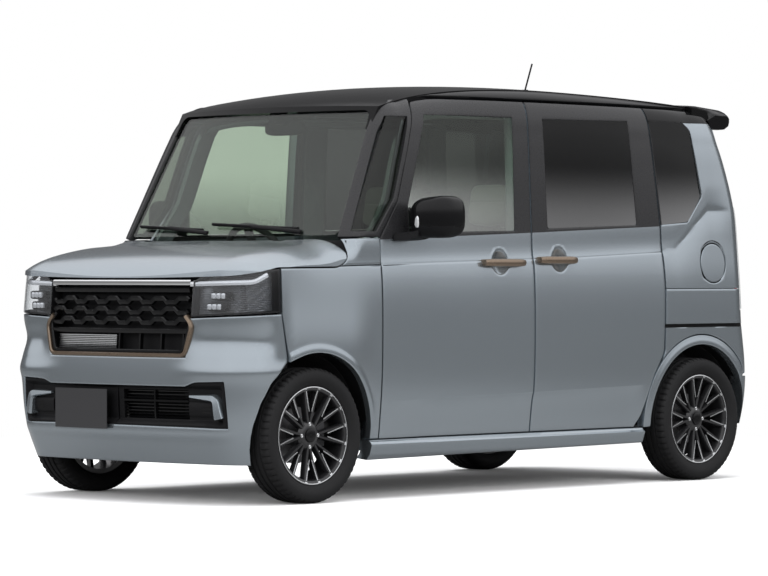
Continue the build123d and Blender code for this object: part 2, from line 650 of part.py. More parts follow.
# Grille and lower grille
grille_form = glass_outer_form - seat_form - hood_cut
grille = grille_form & front_prism(GRILLE, GRILLE_RADII, NOSE_Y - 100, FRONT_AXLE_Y - 200, grow=-FIT_GAP)
GRILLE_SLOTS = [(648, 672), (690, 714), (732, 756), (774, 798), (816, 840), (858, 882)]
for slot_bottom, slot_top in GRILLE_SLOTS:
    grille = grille - block(-385, 385, NOSE_Y - 100, NOSE_Y + 300, slot_bottom, slot_top)
save("grille", grille)
lower_hole = front_prism(LOWER_GRILLE, LOWER_GRILLE_RADII, NOSE_Y - 100, FRONT_AXLE_Y - 200, grow=-FIT_GAP)
lower_grille = grille_form & lower_hole
for slot_bottom, slot_top in [(350, 372), (390, 412), (430, 452)]:
    lower_grille = lower_grille - block(-560, 560, NOSE_Y - 100, NOSE_Y + 400, slot_bottom, slot_top)
save("lower_grille", lower_grille)

# Roof
roof = (outer_form - seat_form) & roof_region
roof = roof - screen_cut
GATE_AXIS_Y = ROOF_REAR_Y + 8.0
GATE_AXIS_Z = 1733.0
GATE_HINGE_X = 250.0
GATE_RELIEF = 46.0
tailgate = (outer_form - panel_inner_form) & front_prism(
    TAILGATE, TAILGATE_RADII, ROOF_REAR_Y + half, TAIL_Y + 100, grow=-half
)
tailgate = tailgate - rear_glass_cut
relief = [
    (ROOF_REAR_Y - 20, GATE_AXIS_Z),
    (ROOF_REAR_Y + half, GATE_AXIS_Z),
    (ROOF_REAR_Y + half + GATE_RELIEF, GATE_AXIS_Z + GATE_RELIEF),
    (ROOF_REAR_Y - 20, GATE_AXIS_Z + GATE_RELIEF),
]
tailgate = tailgate - prism_pair(relief, [0, 0, 0, 0])
for side in (-1, 1):
    place = Plane(origin=(side * GATE_HINGE_X, GATE_AXIS_Y, GATE_AXIS_Z), x_dir=(0, -1, 0), z_dir=(1, 0, 0))
    leaf, room = hinge(place, 45, 24, scale=0.8)
    roof = roof + leaf
    tailgate = tailgate - room
save("roof", roof)
save("tailgate", tailgate)
rear_hole = front_prism(REAR_GLASS, REAR_GLASS_RADII, ROOF_REAR_Y, TAIL_Y + 100, grow=-FIT_GAP)
save("tailgate_glass", glass_sheet & rear_hole)

# Roof spoiler on the tailgate
SPOILER = [
    (ROOF_REAR_Y + 60, 1690.0),
    (ROOF_REAR_Y + 60, 1742.0),
    (TAIL_Y - 142, 1704.0),
    (TAIL_Y - 142, 1692.0),
    (TAIL_Y - 197, 1620.0),
]
spoiler_side = prism_pair(SPOILER, [0, 8, 4, 4, 0])
spoiler = (spoiler_side & block(-600, 600, 0, FAR, 0, FAR)) - outer_form
save("spoiler", Pos(0, 0, FIT_GAP) * spoiler.solids().sort_by(SortBy.VOLUME)[-1])

# Underbody: floor, firewall, rails, wheelhouse liners and the beams behind the bumpers
FIREWALL_Y = FRONT_AXLE_Y + 190.0
FIREWALL_DEPTH = 26.0
RAIL_X0 = 354.0
RAIL_X1 = 389.0
RAIL_Z0 = 500.0
RAIL_Z1 = 580.0
floor_plate = cabin_form & block(-FAR, FAR, FIREWALL_Y, TAIL_Y, FLOOR_Z, FLOOR_Z + FLOOR_DEPTH)
firewall = frame_outer_form & block(
    -FAR, FAR, FIREWALL_Y, FIREWALL_Y + FIREWALL_DEPTH, FLOOR_Z, BELT_Z - 40
)
front_beam = frame_outer_form & block(-FAR, FAR, NOSE_Y, NOSE_Y + 150, 515, 595)
lamp_beam = frame_outer_form & block(-FAR, FAR, NOSE_Y, NOSE_Y + 150, 780, 900)
lamp_beam = lamp_beam - block(-400, 400, NOSE_Y, NOSE_Y + 300, 600, 880)
posts = frame_outer_form & (
    block(RAIL_X0, RAIL_X0 + 90, NOSE_Y, NOSE_Y + 150, 330, 900)
    + block(-RAIL_X0 - 90, -RAIL_X0, NOSE_Y, NOSE_Y + 150, 330, 900)
)
rails = block(RAIL_X0, RAIL_X1, NOSE_Y + 120, FIREWALL_Y + FIREWALL_DEPTH, RAIL_Z0, RAIL_Z1)
rails = rails + right_of(rails)
rear_beam = frame_outer_form & block(
    -FRAME_SIDE_X + FIXED_GAP, FRAME_SIDE_X - FIXED_GAP, TAIL_Y - 190, TAIL_Y, FLOOR_Z, REAR_BUMPER_TOP_Z - 40
)
rooms_outer = wheel_cylinders(FRONT_AXLE_Y, ARCH_RADIUS + LINER_WALL, FRONT_HOUSE_X - LINER_WALL)
rooms_outer = rooms_outer + wheel_cylinders(REAR_AXLE_Y, ARCH_RADIUS + LINER_WALL, REAR_HOUSE_X - LINER_WALL)
liners = (rooms_outer - wheel_rooms) & cabin_form & block(-FAR, FAR, -FAR, FAR, FLOOR_Z, FAR)
underbody = floor_plate + firewall + front_beam + lamp_beam + posts + rails + rear_beam
underbody = underbody - rooms_outer + liners
AXLE_GAP_Y = 130.0
underbody = underbody - block(-FAR, FAR, FRONT_AXLE_Y - AXLE_GAP_Y, FRONT_AXLE_Y + AXLE_GAP_Y, 0, 440)
underbody = underbody - block(-FAR, FAR, REAR_AXLE_Y - 60, REAR_AXLE_Y + 60, 0, 350)
save("underbody", underbody)

# Wheels and tyres
BEAD_HALF = RIM_WIDTH / 2 - 6.0
DISC_X = -38.0


def wheel_profile(rows):
    """Turn a closed half-section, given as (x along the axle, radius), about the axle."""
    face = make_face(Polyline(*rows, close=True))
    return revolve(Plane.XY * face, axis=Axis.X)


def make_wheel():
    """One wheel about the X axis, outer face towards +X."""
    edge = RIM_WIDTH / 2
    rim = wheel_profile(
        [
            (-edge, FLANGE_RADIUS),
            (-BEAD_HALF, FLANGE_RADIUS),
            (-BEAD_HALF, RIM_RADIUS),
            (BEAD_HALF, RIM_RADIUS),
            (BEAD_HALF, FLANGE_RADIUS),
            (edge, FLANGE_RADIUS),
            (edge, RIM_RADIUS - RIM_WALL),
            (-edge, RIM_RADIUS - RIM_WALL),
        ]
    )
    face_x = edge - 8.0
    hub = Pos(face_x - 25, 0, 0) * Rot(0, 90, 0) * Cylinder(HUB_RADIUS, 50)
    hat_length = face_x - DISC_X
    disc_hat = Pos(DISC_X + hat_length / 2, 0, 0) * Rot(0, 90, 0) * Cylinder(HUB_RADIUS, hat_length)
    disc = Pos(DISC_X, 0, 0) * Rot(0, 90, 0) * Cylinder(DISC_RADIUS, DISC_THICKNESS)
    wheel = rim + hub + disc_hat + disc
    for pair in range(SPOKE_PAIRS):
        for lean in (-1, 1):
            root = math.radians(360 / SPOKE_PAIRS * pair + lean * 3)
            tip = math.radians(360 / SPOKE_PAIRS * pair + lean * 90 / SPOKE_PAIRS)
            start = Vector(0, (HUB_RADIUS - 15) * math.sin(root), (HUB_RADIUS - 15) * math.cos(root))
            end_r = RIM_RADIUS - RIM_WALL / 2
            end = Vector(0, end_r * math.sin(tip), end_r * math.cos(tip))
            line = end - start
            foot = (face_x - SPOKE_DEPTH / 2, start.Y, start.Z)
            place = Plane(origin=foot, x_dir=(1, 0, 0), z_dir=line.normalized())
            bar = Box(SPOKE_DEPTH, SPOKE_WIDTH, line.length, align=(Align.CENTER, Align.CENTER, Align.MIN))
            wheel = wheel + place * bar
    bore = Pos(-30, 0, 0) * Rot(0, 90, 0) * Cylinder(SPINDLE_RADIUS + RUNNING_CLEARANCE, 120)
    return wheel - bore


TYRE_ROWS = [
    (BEAD_HALF - FIT_GAP, RIM_RADIUS + FIT_GAP),
    (BEAD_HALF - FIT_GAP, FLANGE_RADIUS + 4),
    (TYRE_WIDTH / 2, (FLANGE_RADIUS + TYRE_RADIUS) / 2),
    (TYRE_WIDTH / 2 - 8, TYRE_RADIUS - 12),
    (TYRE_WIDTH / 2 - 22, TYRE_RADIUS),
]
tyre_section = TYRE_ROWS + [(-x, r) for x, r in reversed(TYRE_ROWS)]
tyre = wheel_profile(tyre_section)
wheel = make_wheel()
CORNERS = [
    ("front_left", FRONT_AXLE_Y, 1),
    ("front_right", FRONT_AXLE_Y, -1),
    ("rear_left", REAR_AXLE_Y, 1),
    ("rear_right", REAR_AXLE_Y, -1),
]
for corner_name, axle_y, side in CORNERS:
    for kind, shape in (("wheel", wheel), ("tyre", tyre)):
        placed = Pos(WHEEL_X, axle_y, AXLE_Z) * shape
        save(f"{kind}_{corner_name}", placed if side > 0 else right_of(placed))

# Steering knuckles with spindle, strut and caliper, turning on the lower arms' pins
KINGPIN_X = WHEEL_X - 74.0
KINGPIN_RADIUS = 14.0
ARM_Z0 = 165.0
ARM_Z1 = 185.0
SPINDLE_END_X = WHEEL_X + 25.0
UPRIGHT_HALF = 22.0
CALIPER_HALF = 34.0
STRUT_RADIUS = 24.0
STRUT_X = WHEEL_X - TYRE_WIDTH / 2 - STRUT_RADIUS - 14.0
upright = block(
    KINGPIN_X - 2 * UPRIGHT_HALF,
    WHEEL_X + DISC_X - DISC_THICKNESS / 2 - MOVING_GAP,
    FRONT_AXLE_Y - 30,
    FRONT_AXLE_Y + 30,
    ARM_Z1 + MOVING_GAP,
    AXLE_Z + 90,
)
spindle = rod(SPINDLE_RADIUS, (KINGPIN_X, FRONT_AXLE_Y, AXLE_Z), (SPINDLE_END_X, FRONT_AXLE_Y, AXLE_Z))
strut = rod(STRUT_RADIUS, (STRUT_X, FRONT_AXLE_Y, AXLE_Z + 40), (STRUT_X, FRONT_AXLE_Y, AXLE_Z + ARCH_RADIUS - 9))
bracket = block(STRUT_X, KINGPIN_X, FRONT_AXLE_Y - 20, FRONT_AXLE_Y + 20, AXLE_Z + 40, AXLE_Z + 90)
pin_hole = rod(
    KINGPIN_RADIUS + RUNNING_CLEARANCE,
    (KINGPIN_X, FRONT_AXLE_Y, ARM_Z1),
    (KINGPIN_X, FRONT_AXLE_Y, AXLE_Z - 40),
)
caliper = block(
    WHEEL_X + DISC_X - CALIPER_HALF,
    WHEEL_X + DISC_X + CALIPER_HALF,
    FRONT_AXLE_Y + 72,
    FRONT_AXLE_Y + DISC_RADIUS + 16,
    AXLE_Z - 48,
    AXLE_Z + 48,
)
disc_slot = Pos(WHEEL_X + DISC_X, FRONT_AXLE_Y, AXLE_Z) * Rot(0, 90, 0) * Cylinder(
    DISC_RADIUS + MOVING_GAP, DISC_THICKNESS + 2 * MOVING_GAP
)
caliper_arm = block(
    WHEEL_X + DISC_X - CALIPER_HALF,
    WHEEL_X + DISC_X - DISC_THICKNESS / 2 - MOVING_GAP,
    FRONT_AXLE_Y,
    FRONT_AXLE_Y + 90,
    AXLE_Z - 30,
    AXLE_Z + 30,
)
knuckle_left = upright + spindle + strut + bracket + caliper_arm + (caliper - disc_slot) - pin_hole
save("knuckle_left", knuckle_left)
save("knuckle_right", right_of(knuckle_left))

# Front subframe with the lower arms
cross = block(-330, 330, FRONT_AXLE_Y - 60, FRONT_AXLE_Y + 160, 190, 240)
arm = block(300, KINGPIN_X + KINGPIN_RADIUS, FRONT_AXLE_Y - 25, FRONT_AXLE_Y + 25, ARM_Z0, ARM_Z1)
arm = arm + block(300, 330, FRONT_AXLE_Y - 25, FRONT_AXLE_Y + 25, ARM_Z0, 240)
pin = rod(KINGPIN_RADIUS, (KINGPIN_X, FRONT_AXLE_Y, ARM_Z0), (KINGPIN_X, FRONT_AXLE_Y, AXLE_Z - 45))
tie = block(RAIL_X0, RAIL_X1, FRONT_AXLE_Y + 100, FRONT_AXLE_Y + 150, 190, RAIL_Z0 - FIT_GAP)
tie = tie + block(300, RAIL_X1, FRONT_AXLE_Y + 100, FRONT_AXLE_Y + 150, 190, 240)
subframe = cross + arm + pin + tie
subframe = subframe + right_of(arm + pin + tie)
save("front_subframe", subframe)

# Rear axle beam with its arms and spindles
rear_spindle = rod(SPINDLE_RADIUS, (440, REAR_AXLE_Y, AXLE_Z), (SPINDLE_END_X, REAR_AXLE_Y, AXLE_Z))
rear_arm = block(420, 465, REAR_AXLE_Y - 380, REAR_AXLE_Y + 40, 205, FLOOR_Z - 12)
rear_arm = rear_arm + block(420, 465, REAR_AXLE_Y - 40, REAR_AXLE_Y + 40, 205, AXLE_Z + 40)
rear_arm = rear_arm + block(420, 465, REAR_AXLE_Y - 380, REAR_AXLE_Y - 320, 205, FLOOR_Z - FIT_GAP)
rear_axle = rear_spindle + rear_arm
rear_axle = rear_axle + right_of(rear_axle) + rod(30, (-440, REAR_AXLE_Y - 150, 212), (440, REAR_AXLE_Y - 150, 212))
save("rear_axle", rear_axle)

# Engine, fuel tank and exhaust
engine = block(-330, 330, NOSE_Y + 220, FIREWALL_Y - 30, RAIL_Z0 - 60, 800)
engine = engine - block(-FAR, FAR, FRONT_AXLE_Y - 70, FRONT_AXLE_Y + 170, 0, 241)
engine = engine + block(-RAIL_X0 + FIT_GAP, RAIL_X0 - FIT_GAP, NOSE_Y + 300, NOSE_Y + 380, RAIL_Z0, RAIL_Z1)
save("engine", engine)
save("fuel_tank", fillet(block(-430, 430, -330, 330, 170, FLOOR_Z - FIT_GAP).edges().filter_by(Axis.Z), 60))
silencer = block(-420, 120, REAR_AXLE_Y + 130, REAR_AXLE_Y + 290, 205, FLOOR_Z - 8)
silencer = silencer + block(-300, -280, REAR_AXLE_Y + 200, REAR_AXLE_Y + 220, 230, FLOOR_Z - FIT_GAP)
silencer = silencer + rod(24, (-380, REAR_AXLE_Y + 250, 222), (-380, TAIL_Y - 60, 222))
save("exhaust", silencer)

# Seats
SEAT_X = 330.0
SEAT_HALF = 245.0
FLOOR_TOP = FLOOR_Z + FLOOR_DEPTH
SEAT_SIDE = [
    (-330.0, 470.0),
    (-350.0, 590.0),
    (110.0, 560.0),
    (235.0, 1150.0),
    (330.0, 1130.0),
    (210.0, 450.0),
]


def seat(x, half_width, shift_y):
    profile = outline_face([(y + shift_y, z) for y, z in SEAT_SIDE], [30, 50, 40, 40, 40, 40])
    body = Pos(x - half_width, 0, 0) * extrude(Plane.YZ * profile, 2 * half_width)
    head = Pos(x, shift_y + 285, 1255) * Rot(-10, 0, 0) * Box(230, 80, 190)
    head = fillet(head.edges(), 30)
    stalk = rod(8, (x, shift_y + 282, 1120), (x, shift_y + 288, 1200))
    base = block(x - 170, x + 170, shift_y - 250, shift_y + 150, FLOOR_TOP + FIT_GAP, 480)
    return body + head + stalk + base


save("front_seats", both_sides(seat(SEAT_X, SEAT_HALF, 0)))
save("rear_seat", both_sides(seat(232, 226, 790)))

# Dashboard and steering wheel, on the car's right
COLUMN_X = -335.0
COLUMN_Y = -520.0
COLUMN_Z = 1000.0
COLUMN_TILT = 25.0
RING_RADIUS = 178.0
RING_SECTION = 15.0
SHAFT_RADIUS = 16.0
DASH_SIDE = [
    (FIREWALL_Y + FIREWALL_DEPTH + FIT_GAP, 640.0),
    (FIREWALL_Y + FIREWALL_DEPTH + FIT_GAP, 1050.0),
    (-900.0, 1075.0),
    (-690.0, 1060.0),
    (-620.0, 990.0),
    (-640.0, 860.0),
    (-720.0, 700.0),
    (-800.0, 640.0),
]
dash_face = outline_face(DASH_SIDE, [0, 20, 40, 60, 40, 40, 40, 20])
dash = extrude(Plane.YZ * dash_face, 2 * HALF_WIDTH)
dash = (Pos(-HALF_WIDTH, 0, 0) * dash) & cabin_form
column = Plane(
    origin=(COLUMN_X, COLUMN_Y, COLUMN_Z),
    x_dir=(1, 0, 0),
    z_dir=(0, math.cos(math.radians(COLUMN_TILT)), math.sin(math.radians(COLUMN_TILT))),
)
SHAFT_LENGTH = 260.0
ring = column * Torus(RING_RADIUS, RING_SECTION)
boss = column * (Pos(0, 0, -15) * Cylinder(55, 50))
spokes = column * Box(2 * RING_RADIUS, 40, 16)
spokes = spokes + column * (Pos(0, -RING_RADIUS / 2, 0) * Box(40, RING_RADIUS, 16))
shaft = column * (Pos(0, 0, -SHAFT_LENGTH / 2) * Cylinder(SHAFT_RADIUS, SHAFT_LENGTH))
save("steering_wheel", ring + boss + spokes + shaft)
dash = dash - column * (Pos(0, 0, -SHAFT_LENGTH / 2) * Cylinder(SHAFT_RADIUS + RUNNING_CLEARANCE, SHAFT_LENGTH + 1))
save("dashboard", dash)

# Door mirrors and handles
MIRROR_Y = DOOR_FRONT_Y + 85.0
MIRROR_Z = BELT_Z + 35.0
mirror_case = Pos(HALF_WIDTH + 95, MIRROR_Y, MIRROR_Z + 30) * Box(165, 90, 165)
mirror_case = fillet(mirror_case.edges(), 28)
stem = block(HALF_WIDTH - 60, HALF_WIDTH + 60, MIRROR_Y - 25, MIRROR_Y + 25, MIRROR_Z - 62, MIRROR_Z - 30)
mirror_left = (mirror_case + stem) - outer_form
mirror_left = Pos(FIT_GAP, 0, 0) * mirror_left.solids().sort_by(SortBy.VOLUME)[-1]
save("mirror_left", mirror_left)
save("mirror_right", right_of(mirror_left))


def handle(y0, y1, z):
    grip = block(HALF_WIDTH + 20, HALF_WIDTH + 34, y0, y1, z - 13, z + 13)
    feet = block(HALF_WIDTH - 60, HALF_WIDTH + 24, y0, y0 + 40, z - 13, z + 13)
    feet = feet + block(HALF_WIDTH - 60, HALF_WIDTH + 24, y1 - 40, y1, z - 13, z + 13)
    return Pos(FIT_GAP, 0, 0) * ((grip + feet) - outer_form)


front_handle = handle(DOOR_SPLIT_Y - 336, DOOR_SPLIT_Y - 77, 997)
save("handle_left", front_handle)
save("handle_right", right_of(front_handle))
save("slide_handles", both_sides(handle(DOOR_SPLIT_Y + 23, DOOR_SPLIT_Y + 268, 1008)))

# Wipers and antenna
antenna = rod(14, (0, ROOF_REAR_Y - 440, 1740), (0, ROOF_REAR_Y - 440, 1805))
antenna = antenna + rod(4, (0, ROOF_REAR_Y - 440, 1800), (0, ROOF_REAR_Y - 390, 1927))
save("antenna", Pos(0, 0, FIT_GAP) * (antenna - outer_form))
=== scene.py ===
# %% [markdown]
# # Dressing a tall kei wagon
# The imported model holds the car's construction: panels, hinges, wheels and seats as plain solids.
# This lesson gives it its looks. Sheet metal, glass, lamps and rubber are worked out as numpy surfaces
# in the same frame as the solids, and each one rides on the body that carries it.

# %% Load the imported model
import math

import bpy
import numpy as np
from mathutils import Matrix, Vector


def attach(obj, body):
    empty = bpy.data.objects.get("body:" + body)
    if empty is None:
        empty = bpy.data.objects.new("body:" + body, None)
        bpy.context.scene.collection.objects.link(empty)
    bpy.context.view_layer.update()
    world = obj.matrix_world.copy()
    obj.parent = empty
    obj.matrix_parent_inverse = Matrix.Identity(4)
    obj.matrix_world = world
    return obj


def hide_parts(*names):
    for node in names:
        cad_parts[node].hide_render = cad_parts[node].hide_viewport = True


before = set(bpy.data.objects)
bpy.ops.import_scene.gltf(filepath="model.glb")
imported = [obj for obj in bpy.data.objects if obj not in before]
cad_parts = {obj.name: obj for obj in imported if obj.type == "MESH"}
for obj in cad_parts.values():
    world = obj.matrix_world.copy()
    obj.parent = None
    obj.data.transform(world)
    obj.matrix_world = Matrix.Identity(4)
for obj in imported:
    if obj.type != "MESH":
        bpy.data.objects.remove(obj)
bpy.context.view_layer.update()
print("packed nodes:", len(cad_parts))

# %% [markdown]
# ## From arrays to meshes
# A surface is a grid of points, so its faces follow from the grid's shape alone. All sizes below are in
# millimetres, as on the car's drawing, and become metres once, here.

# %% Mesh helpers
MM = 0.001
SIDES = ((1, "left"), (-1, "right"))


def grid_quads(rows, cols, wrap_rows=False, wrap_cols=False):
    """Faces of a grid: each cell joins its four neighbours; wrapping joins the last line to the first."""
    r = np.arange(rows if wrap_rows else rows - 1)[:, None]
    c = np.arange(cols if wrap_cols else cols - 1)[None, :]
    r2, c2 = (r + 1) % rows, (c + 1) % cols
    return np.stack([r * cols + c, r * cols + c2, r2 * cols + c2, r2 * cols + c], -1).reshape(-1, 4)


def make_piece(name, points, quads, material, body, replaces=(), side=1, sharp=38.0):
    """Turn points (mm) and quads into a smooth-shaded object that rides on a body; side -1 mirrors it."""
    points = np.array(points, float).reshape(-1, 3) * MM
    quads = np.asarray(quads)
    if side < 0:
        points = points * [-1, 1, 1]
        quads = quads[:, ::-1]
    mesh = bpy.data.meshes.new(name)
    mesh.from_pydata(points.tolist(), [], quads.tolist())
    mesh.validate()
    mesh.shade_smooth()
    mesh.set_sharp_from_angle(angle=math.radians(sharp))
    mesh.materials.append(material)
    piece = bpy.data.objects.new(name, mesh)
    bpy.context.scene.collection.objects.link(piece)
    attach(piece, body)
    if replaces:
        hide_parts(*replaces)
    return piece


def make_pair(name, mesh, material, body, replaces=(), sharp=38.0):
    """A piece on the left and its mirror image on the right; SIDE in any name stands for left or right."""
    pair = []
    for side, tag in SIDES:
        piece, rider, *nodes = [given.replace("SIDE", tag) for given in (name, body, *replaces)]
        pair.append(make_piece(piece, *mesh, material, rider, nodes, side, sharp))
    return pair


def join_grids(parts):
    """Put several (points, quads) pairs into one pair."""
    points, quads, start = [], [], 0
    for p, q in parts:
        p = np.asarray(p, float).reshape(-1, 3)
        points.append(p)
        quads.append(np.asarray(q) + start)
        start += len(p)
    return np.concatenate(points), np.concatenate(quads)


def moved(mesh, place):
    """The same points and quads at another place."""
    return mesh[0] + place, mesh[1]


print("mesh helpers ready, sizes in mm, scale", MM)

# %% [markdown]
# ## The car's form
# The body side is one curve of half-width against height. Nose, screen and tail are curves of set-back
# against height. Walking round the car at one height gives a rounded rectangle, and the walk's distance
# `m` is simply the lengthwise place on the flat of the side. Every sheet-metal piece below is a patch of
# this one surface, so neighbours meet in line.

# %% Form tables
NOSE, TAIL, FRONT_AXLE, REAR_AXLE, AXLE_Z = -1697.5, 1697.5, -1237.5, 1282.5, 281.0
SIDE_Z = np.array(
    [165, 300, 480, 720, 930, 1115, 1250, 1400, 1560, 1640, 1680, 1705, 1725, 1742, 1757, 1768.0]
)
SIDE_W = np.array(
    [700.5, 715.5, 731.5, 737.5, 734.5, 723.5, 717.5, 711, 702, 694.5, 684, 672, 657, 637, 608, 572.0]
)
NOSE_Z = np.array([165, 300, 480, 720, 930, 1115.0])
NOSE_BACK = np.array([60, 14, 0, 8, 26, 45.0])
TAIL_Z = np.array([165, 300, 480, 720, 930, 1115, 1250, 1400, 1560, 1660, 1800.0])
TAIL_BACK = np.array([40, 8, 0, 34, 48, 54, 64, 100, 155, 190, 240.0])
ROOF_Y = np.array([-1100, -800, -600, -300, 100, 600, 1100, 1450, 1750.0])
ROOF_Z = np.array([1500, 1668, 1725, 1768, 1788, 1784, 1765, 1738, 1705.0])
ROOF_TOP = ROOF_Z.max()
SCREEN_BASE_Y, SCREEN_BASE_Z, SCREEN_SLOPE = -1100.5, 1080.0, 0.517
NOSE_BOW, NOSE_CORNER = 55.0, 150.0
SCREEN_BOW, SCREEN_CORNER = 80.0, 80.0
TAIL_BOW, TAIL_CORNER = 25.0, 100.0
ARCH_RADIUS, WHEEL_X = 343.0, 652.5
print("length of the form:", TAIL - NOSE)

# %% Curves
def along(x, xs, ys):
    """Smooth curve through a table: a cubic between each two entries, with slopes from their neighbours."""
    slope = np.gradient(ys, xs)
    i = np.clip(np.searchsorted(xs, x) - 1, 0, len(xs) - 2)
    h = xs[i + 1] - xs[i]
    t = np.clip((x - xs[i]) / h, -0.5, 1.5)
    return (
        ys[i] * (1 + 2 * t) * (1 - t) ** 2
        + slope[i] * h * t * (1 - t) ** 2
        + ys[i + 1] * t * t * (3 - 2 * t)
        + slope[i + 1] * h * t * t * (t - 1)
    )


def ease(x, low, high):
    """0 below low, 1 above high, and a smooth step between."""
    t = np.clip((x - low) / (high - low), 0, 1)
    return t * t * (3 - 2 * t)


def half_width(y, z):
    """Half-width of the car: the side curve, lowered where the roof is lower, less a shallow bow in plan."""
    drop = (along(y, ROOF_Y, ROOF_Z) - ROOF_TOP) * ease(z, 1450, 1640)
    cabin = ease(z, 1050, 1250)
    bow = 8 + 26 * ease(z, 1115, 1700)
    middle = 300 * cabin
    length = 1690 - 330 * cabin
    return along(z - drop, SIDE_Z, SIDE_W) - bow * ((y - middle) / length) ** 2


print("widest place:", 2 * half_width(0.0, SIDE_Z).max())

# %% The form
def front_of(z, screen):
    """Where the flat of the side ends in front at height z, and the bow and corner radius of that front."""
    if screen:
        foot = SCREEN_BASE_Y + (z - SCREEN_BASE_Z) * SCREEN_SLOPE
        return foot + SCREEN_BOW + SCREEN_CORNER, SCREEN_BOW, SCREEN_CORNER
    return NOSE + along(z, NOSE_Z, NOSE_BACK) + NOSE_BOW + NOSE_CORNER, NOSE_BOW, NOSE_CORNER


def rear_of(z):
    """Where the flat of the side ends at the back at height z."""
    return TAIL - along(z, TAIL_Z, TAIL_BACK) - TAIL_BOW - TAIL_CORNER


def form(m, z, screen=False):
    """Point of the car's side at walk m and height z: side, then a quarter round, then nose or tail.

    The front is the nose, the windscreen, or a mix of both by a rule that gives the screen's share by height.
    """
    m, z = np.broadcast_arrays(np.asarray(m, float), np.asarray(z, float))
    if callable(screen):
        share = screen(z)[..., None]
        return (1 - share) * form(m, z) + share * form(m, z, True)
    front, front_bow, front_r = front_of(z, screen)
    rear = rear_of(z)
    y = np.clip(m, front, rear)
    edge = half_width(y, z)
    turn_front = np.clip((front - m) / front_r, 0, math.pi / 2)
    turn_rear = np.clip((m - rear) / TAIL_CORNER, 0, math.pi / 2)
    x = edge - front_r * (1 - np.cos(turn_front)) - TAIL_CORNER * (1 - np.cos(turn_rear))
    x = x - np.maximum(0, front - m - front_r * math.pi / 2)
    x = x - np.maximum(0, m - rear - TAIL_CORNER * math.pi / 2)
    y = y - front_r * np.sin(turn_front) + TAIL_CORNER * np.sin(turn_rear)
    bow = 1 - (x / edge) ** 2
    y = y - np.where(m < front, front_bow * bow, 0) + np.where(m > rear, TAIL_BOW * bow, 0)
    return np.stack([x, y, z], -1)


print("side at 720 mm:", form(0.0, 720.0).round(1))

# %% [markdown]
# Two helpers turn this round. Given a place on the nose or the tail, they find the walk that leads to it. A third
# moves a point inwards along the surface's normal, which is how creases and thicknesses are made.

# %% Walks and depths
def corner_turn(inside, radius):
    """Angle walked round a corner to a place so far inside the side; past the corner the walk goes straight on."""
    round_part = np.arccos(np.clip(1 - inside / radius, -1, 1))
    return np.where(inside > radius, math.pi / 2 + (inside - radius) / radius, round_part)


def walk_to_nose(x, z, screen=False):
    """The walk m that reaches a given x on the front of the car at height z."""
    front, _, radius = front_of(z, screen)
    return front - radius * corner_turn(half_width(front, z) - x, radius)


def walk_to_tail(x, z):
    """The walk m that reaches a given x on the back of the car at height z."""
    rear = rear_of(z)
    return rear + TAIL_CORNER * corner_turn(half_width(rear, z) - x, TAIL_CORNER)


def form_at(m, z, depth=0.0, screen=False):
    """Point of the form, moved inwards by depth along the surface's own normal."""
    step = 2.0
    here = form(m, z, screen)
    across = form(np.asarray(m) + step, z, screen) - form(np.asarray(m) - step, z, screen)
    up = form(m, np.asarray(z) + step, screen) - form(m, np.asarray(z) - step, screen)
    normal = np.cross(across, up)
    normal = normal / np.maximum(np.linalg.norm(normal, axis=-1, keepdims=True), 1e-9)
    return here - normal * np.asarray(depth)[..., None]


print("middle of the nose at 720 mm:", form_at(walk_to_nose(0.0, 720.0), 720.0).round(1))

# %% [markdown]
# ## Finishes
# Each finish is one Principled shader with a little procedural variation: flakes under a clear coat for the
# paint, grain on plastics, weave on cloth. A helper makes the shader and sets its plain sockets, so that each
# finish below only says what is special about it.

# %% Shader nodes
def feed(tree, value, socket):
    """Link another node's output to a socket, or set the socket to a plain value."""
    if isinstance(value, bpy.types.NodeSocket):
        tree.links.new(value, socket)
    else:
        socket.default_value = value


def node(tree, kind, inputs=(), **options):
    """Add a shader node with its options; inputs maps each socket to a plain value or to an output."""
    made = tree.nodes.new("ShaderNode" + kind)
    for key, value in options.items():
        setattr(made, key, value)
    for key, value in dict(inputs).items():
        feed(tree, value, made.inputs[key])
    return made


def finish(name, colour, rough=0.5, metal=0.0, **sockets):
    """A Principled material with constant sockets; underscores in socket names stand for spaces."""
    material = bpy.data.materials.new(name)
    material.use_nodes = True
    shader = material.node_tree.nodes["Principled BSDF"]
    sockets = {"Base_Color": (*colour, 1), "Roughness": rough, "Metallic": metal, **sockets}
    for key, value in sockets.items():
        shader.inputs[key.replace("_", " ")].default_value = value
    return material


def pattern(material, kind, scale):
    """A texture node on the piece's own coordinates, scaled per metre."""
    tree = material.node_tree
    return node(tree, kind, {"Vector": node(tree, "TexCoord").outputs["Object"], "Scale": scale})


# %% Variation
def vary_colour(material, value, dark, light, low=0.3, high=0.7):
    """Run a 0-1 value through a two-colour ramp into the base colour."""
    tree = material.node_tree
    ramp = node(tree, "ValToRGB", {"Fac": value})
    for stop, place, shade in zip(ramp.color_ramp.elements, (low, high), (dark, light)):
        stop.position = place
        stop.color = (*shade, 1)
    feed(tree, ramp.outputs["Color"], tree.nodes["Principled BSDF"].inputs["Base Color"])


def vary_rough(material, value, low, high):
    """Map a 0-1 value to a range of roughness."""
    tree = material.node_tree
    spread = node(tree, "MapRange", {"Value": value, "To Min": low, "To Max": high})
    feed(tree, spread.outputs["Result"], tree.nodes["Principled BSDF"].inputs["Roughness"])


def emboss(material, value, strength, depth):
    """Use a 0-1 value as a bump of a real depth in metres."""
    tree = material.node_tree
    bump = node(tree, "Bump", {"Height": value, "Strength": strength, "Distance": depth})
    feed(tree, bump.outputs["Normal"], tree.nodes["Principled BSDF"].inputs["Normal"])


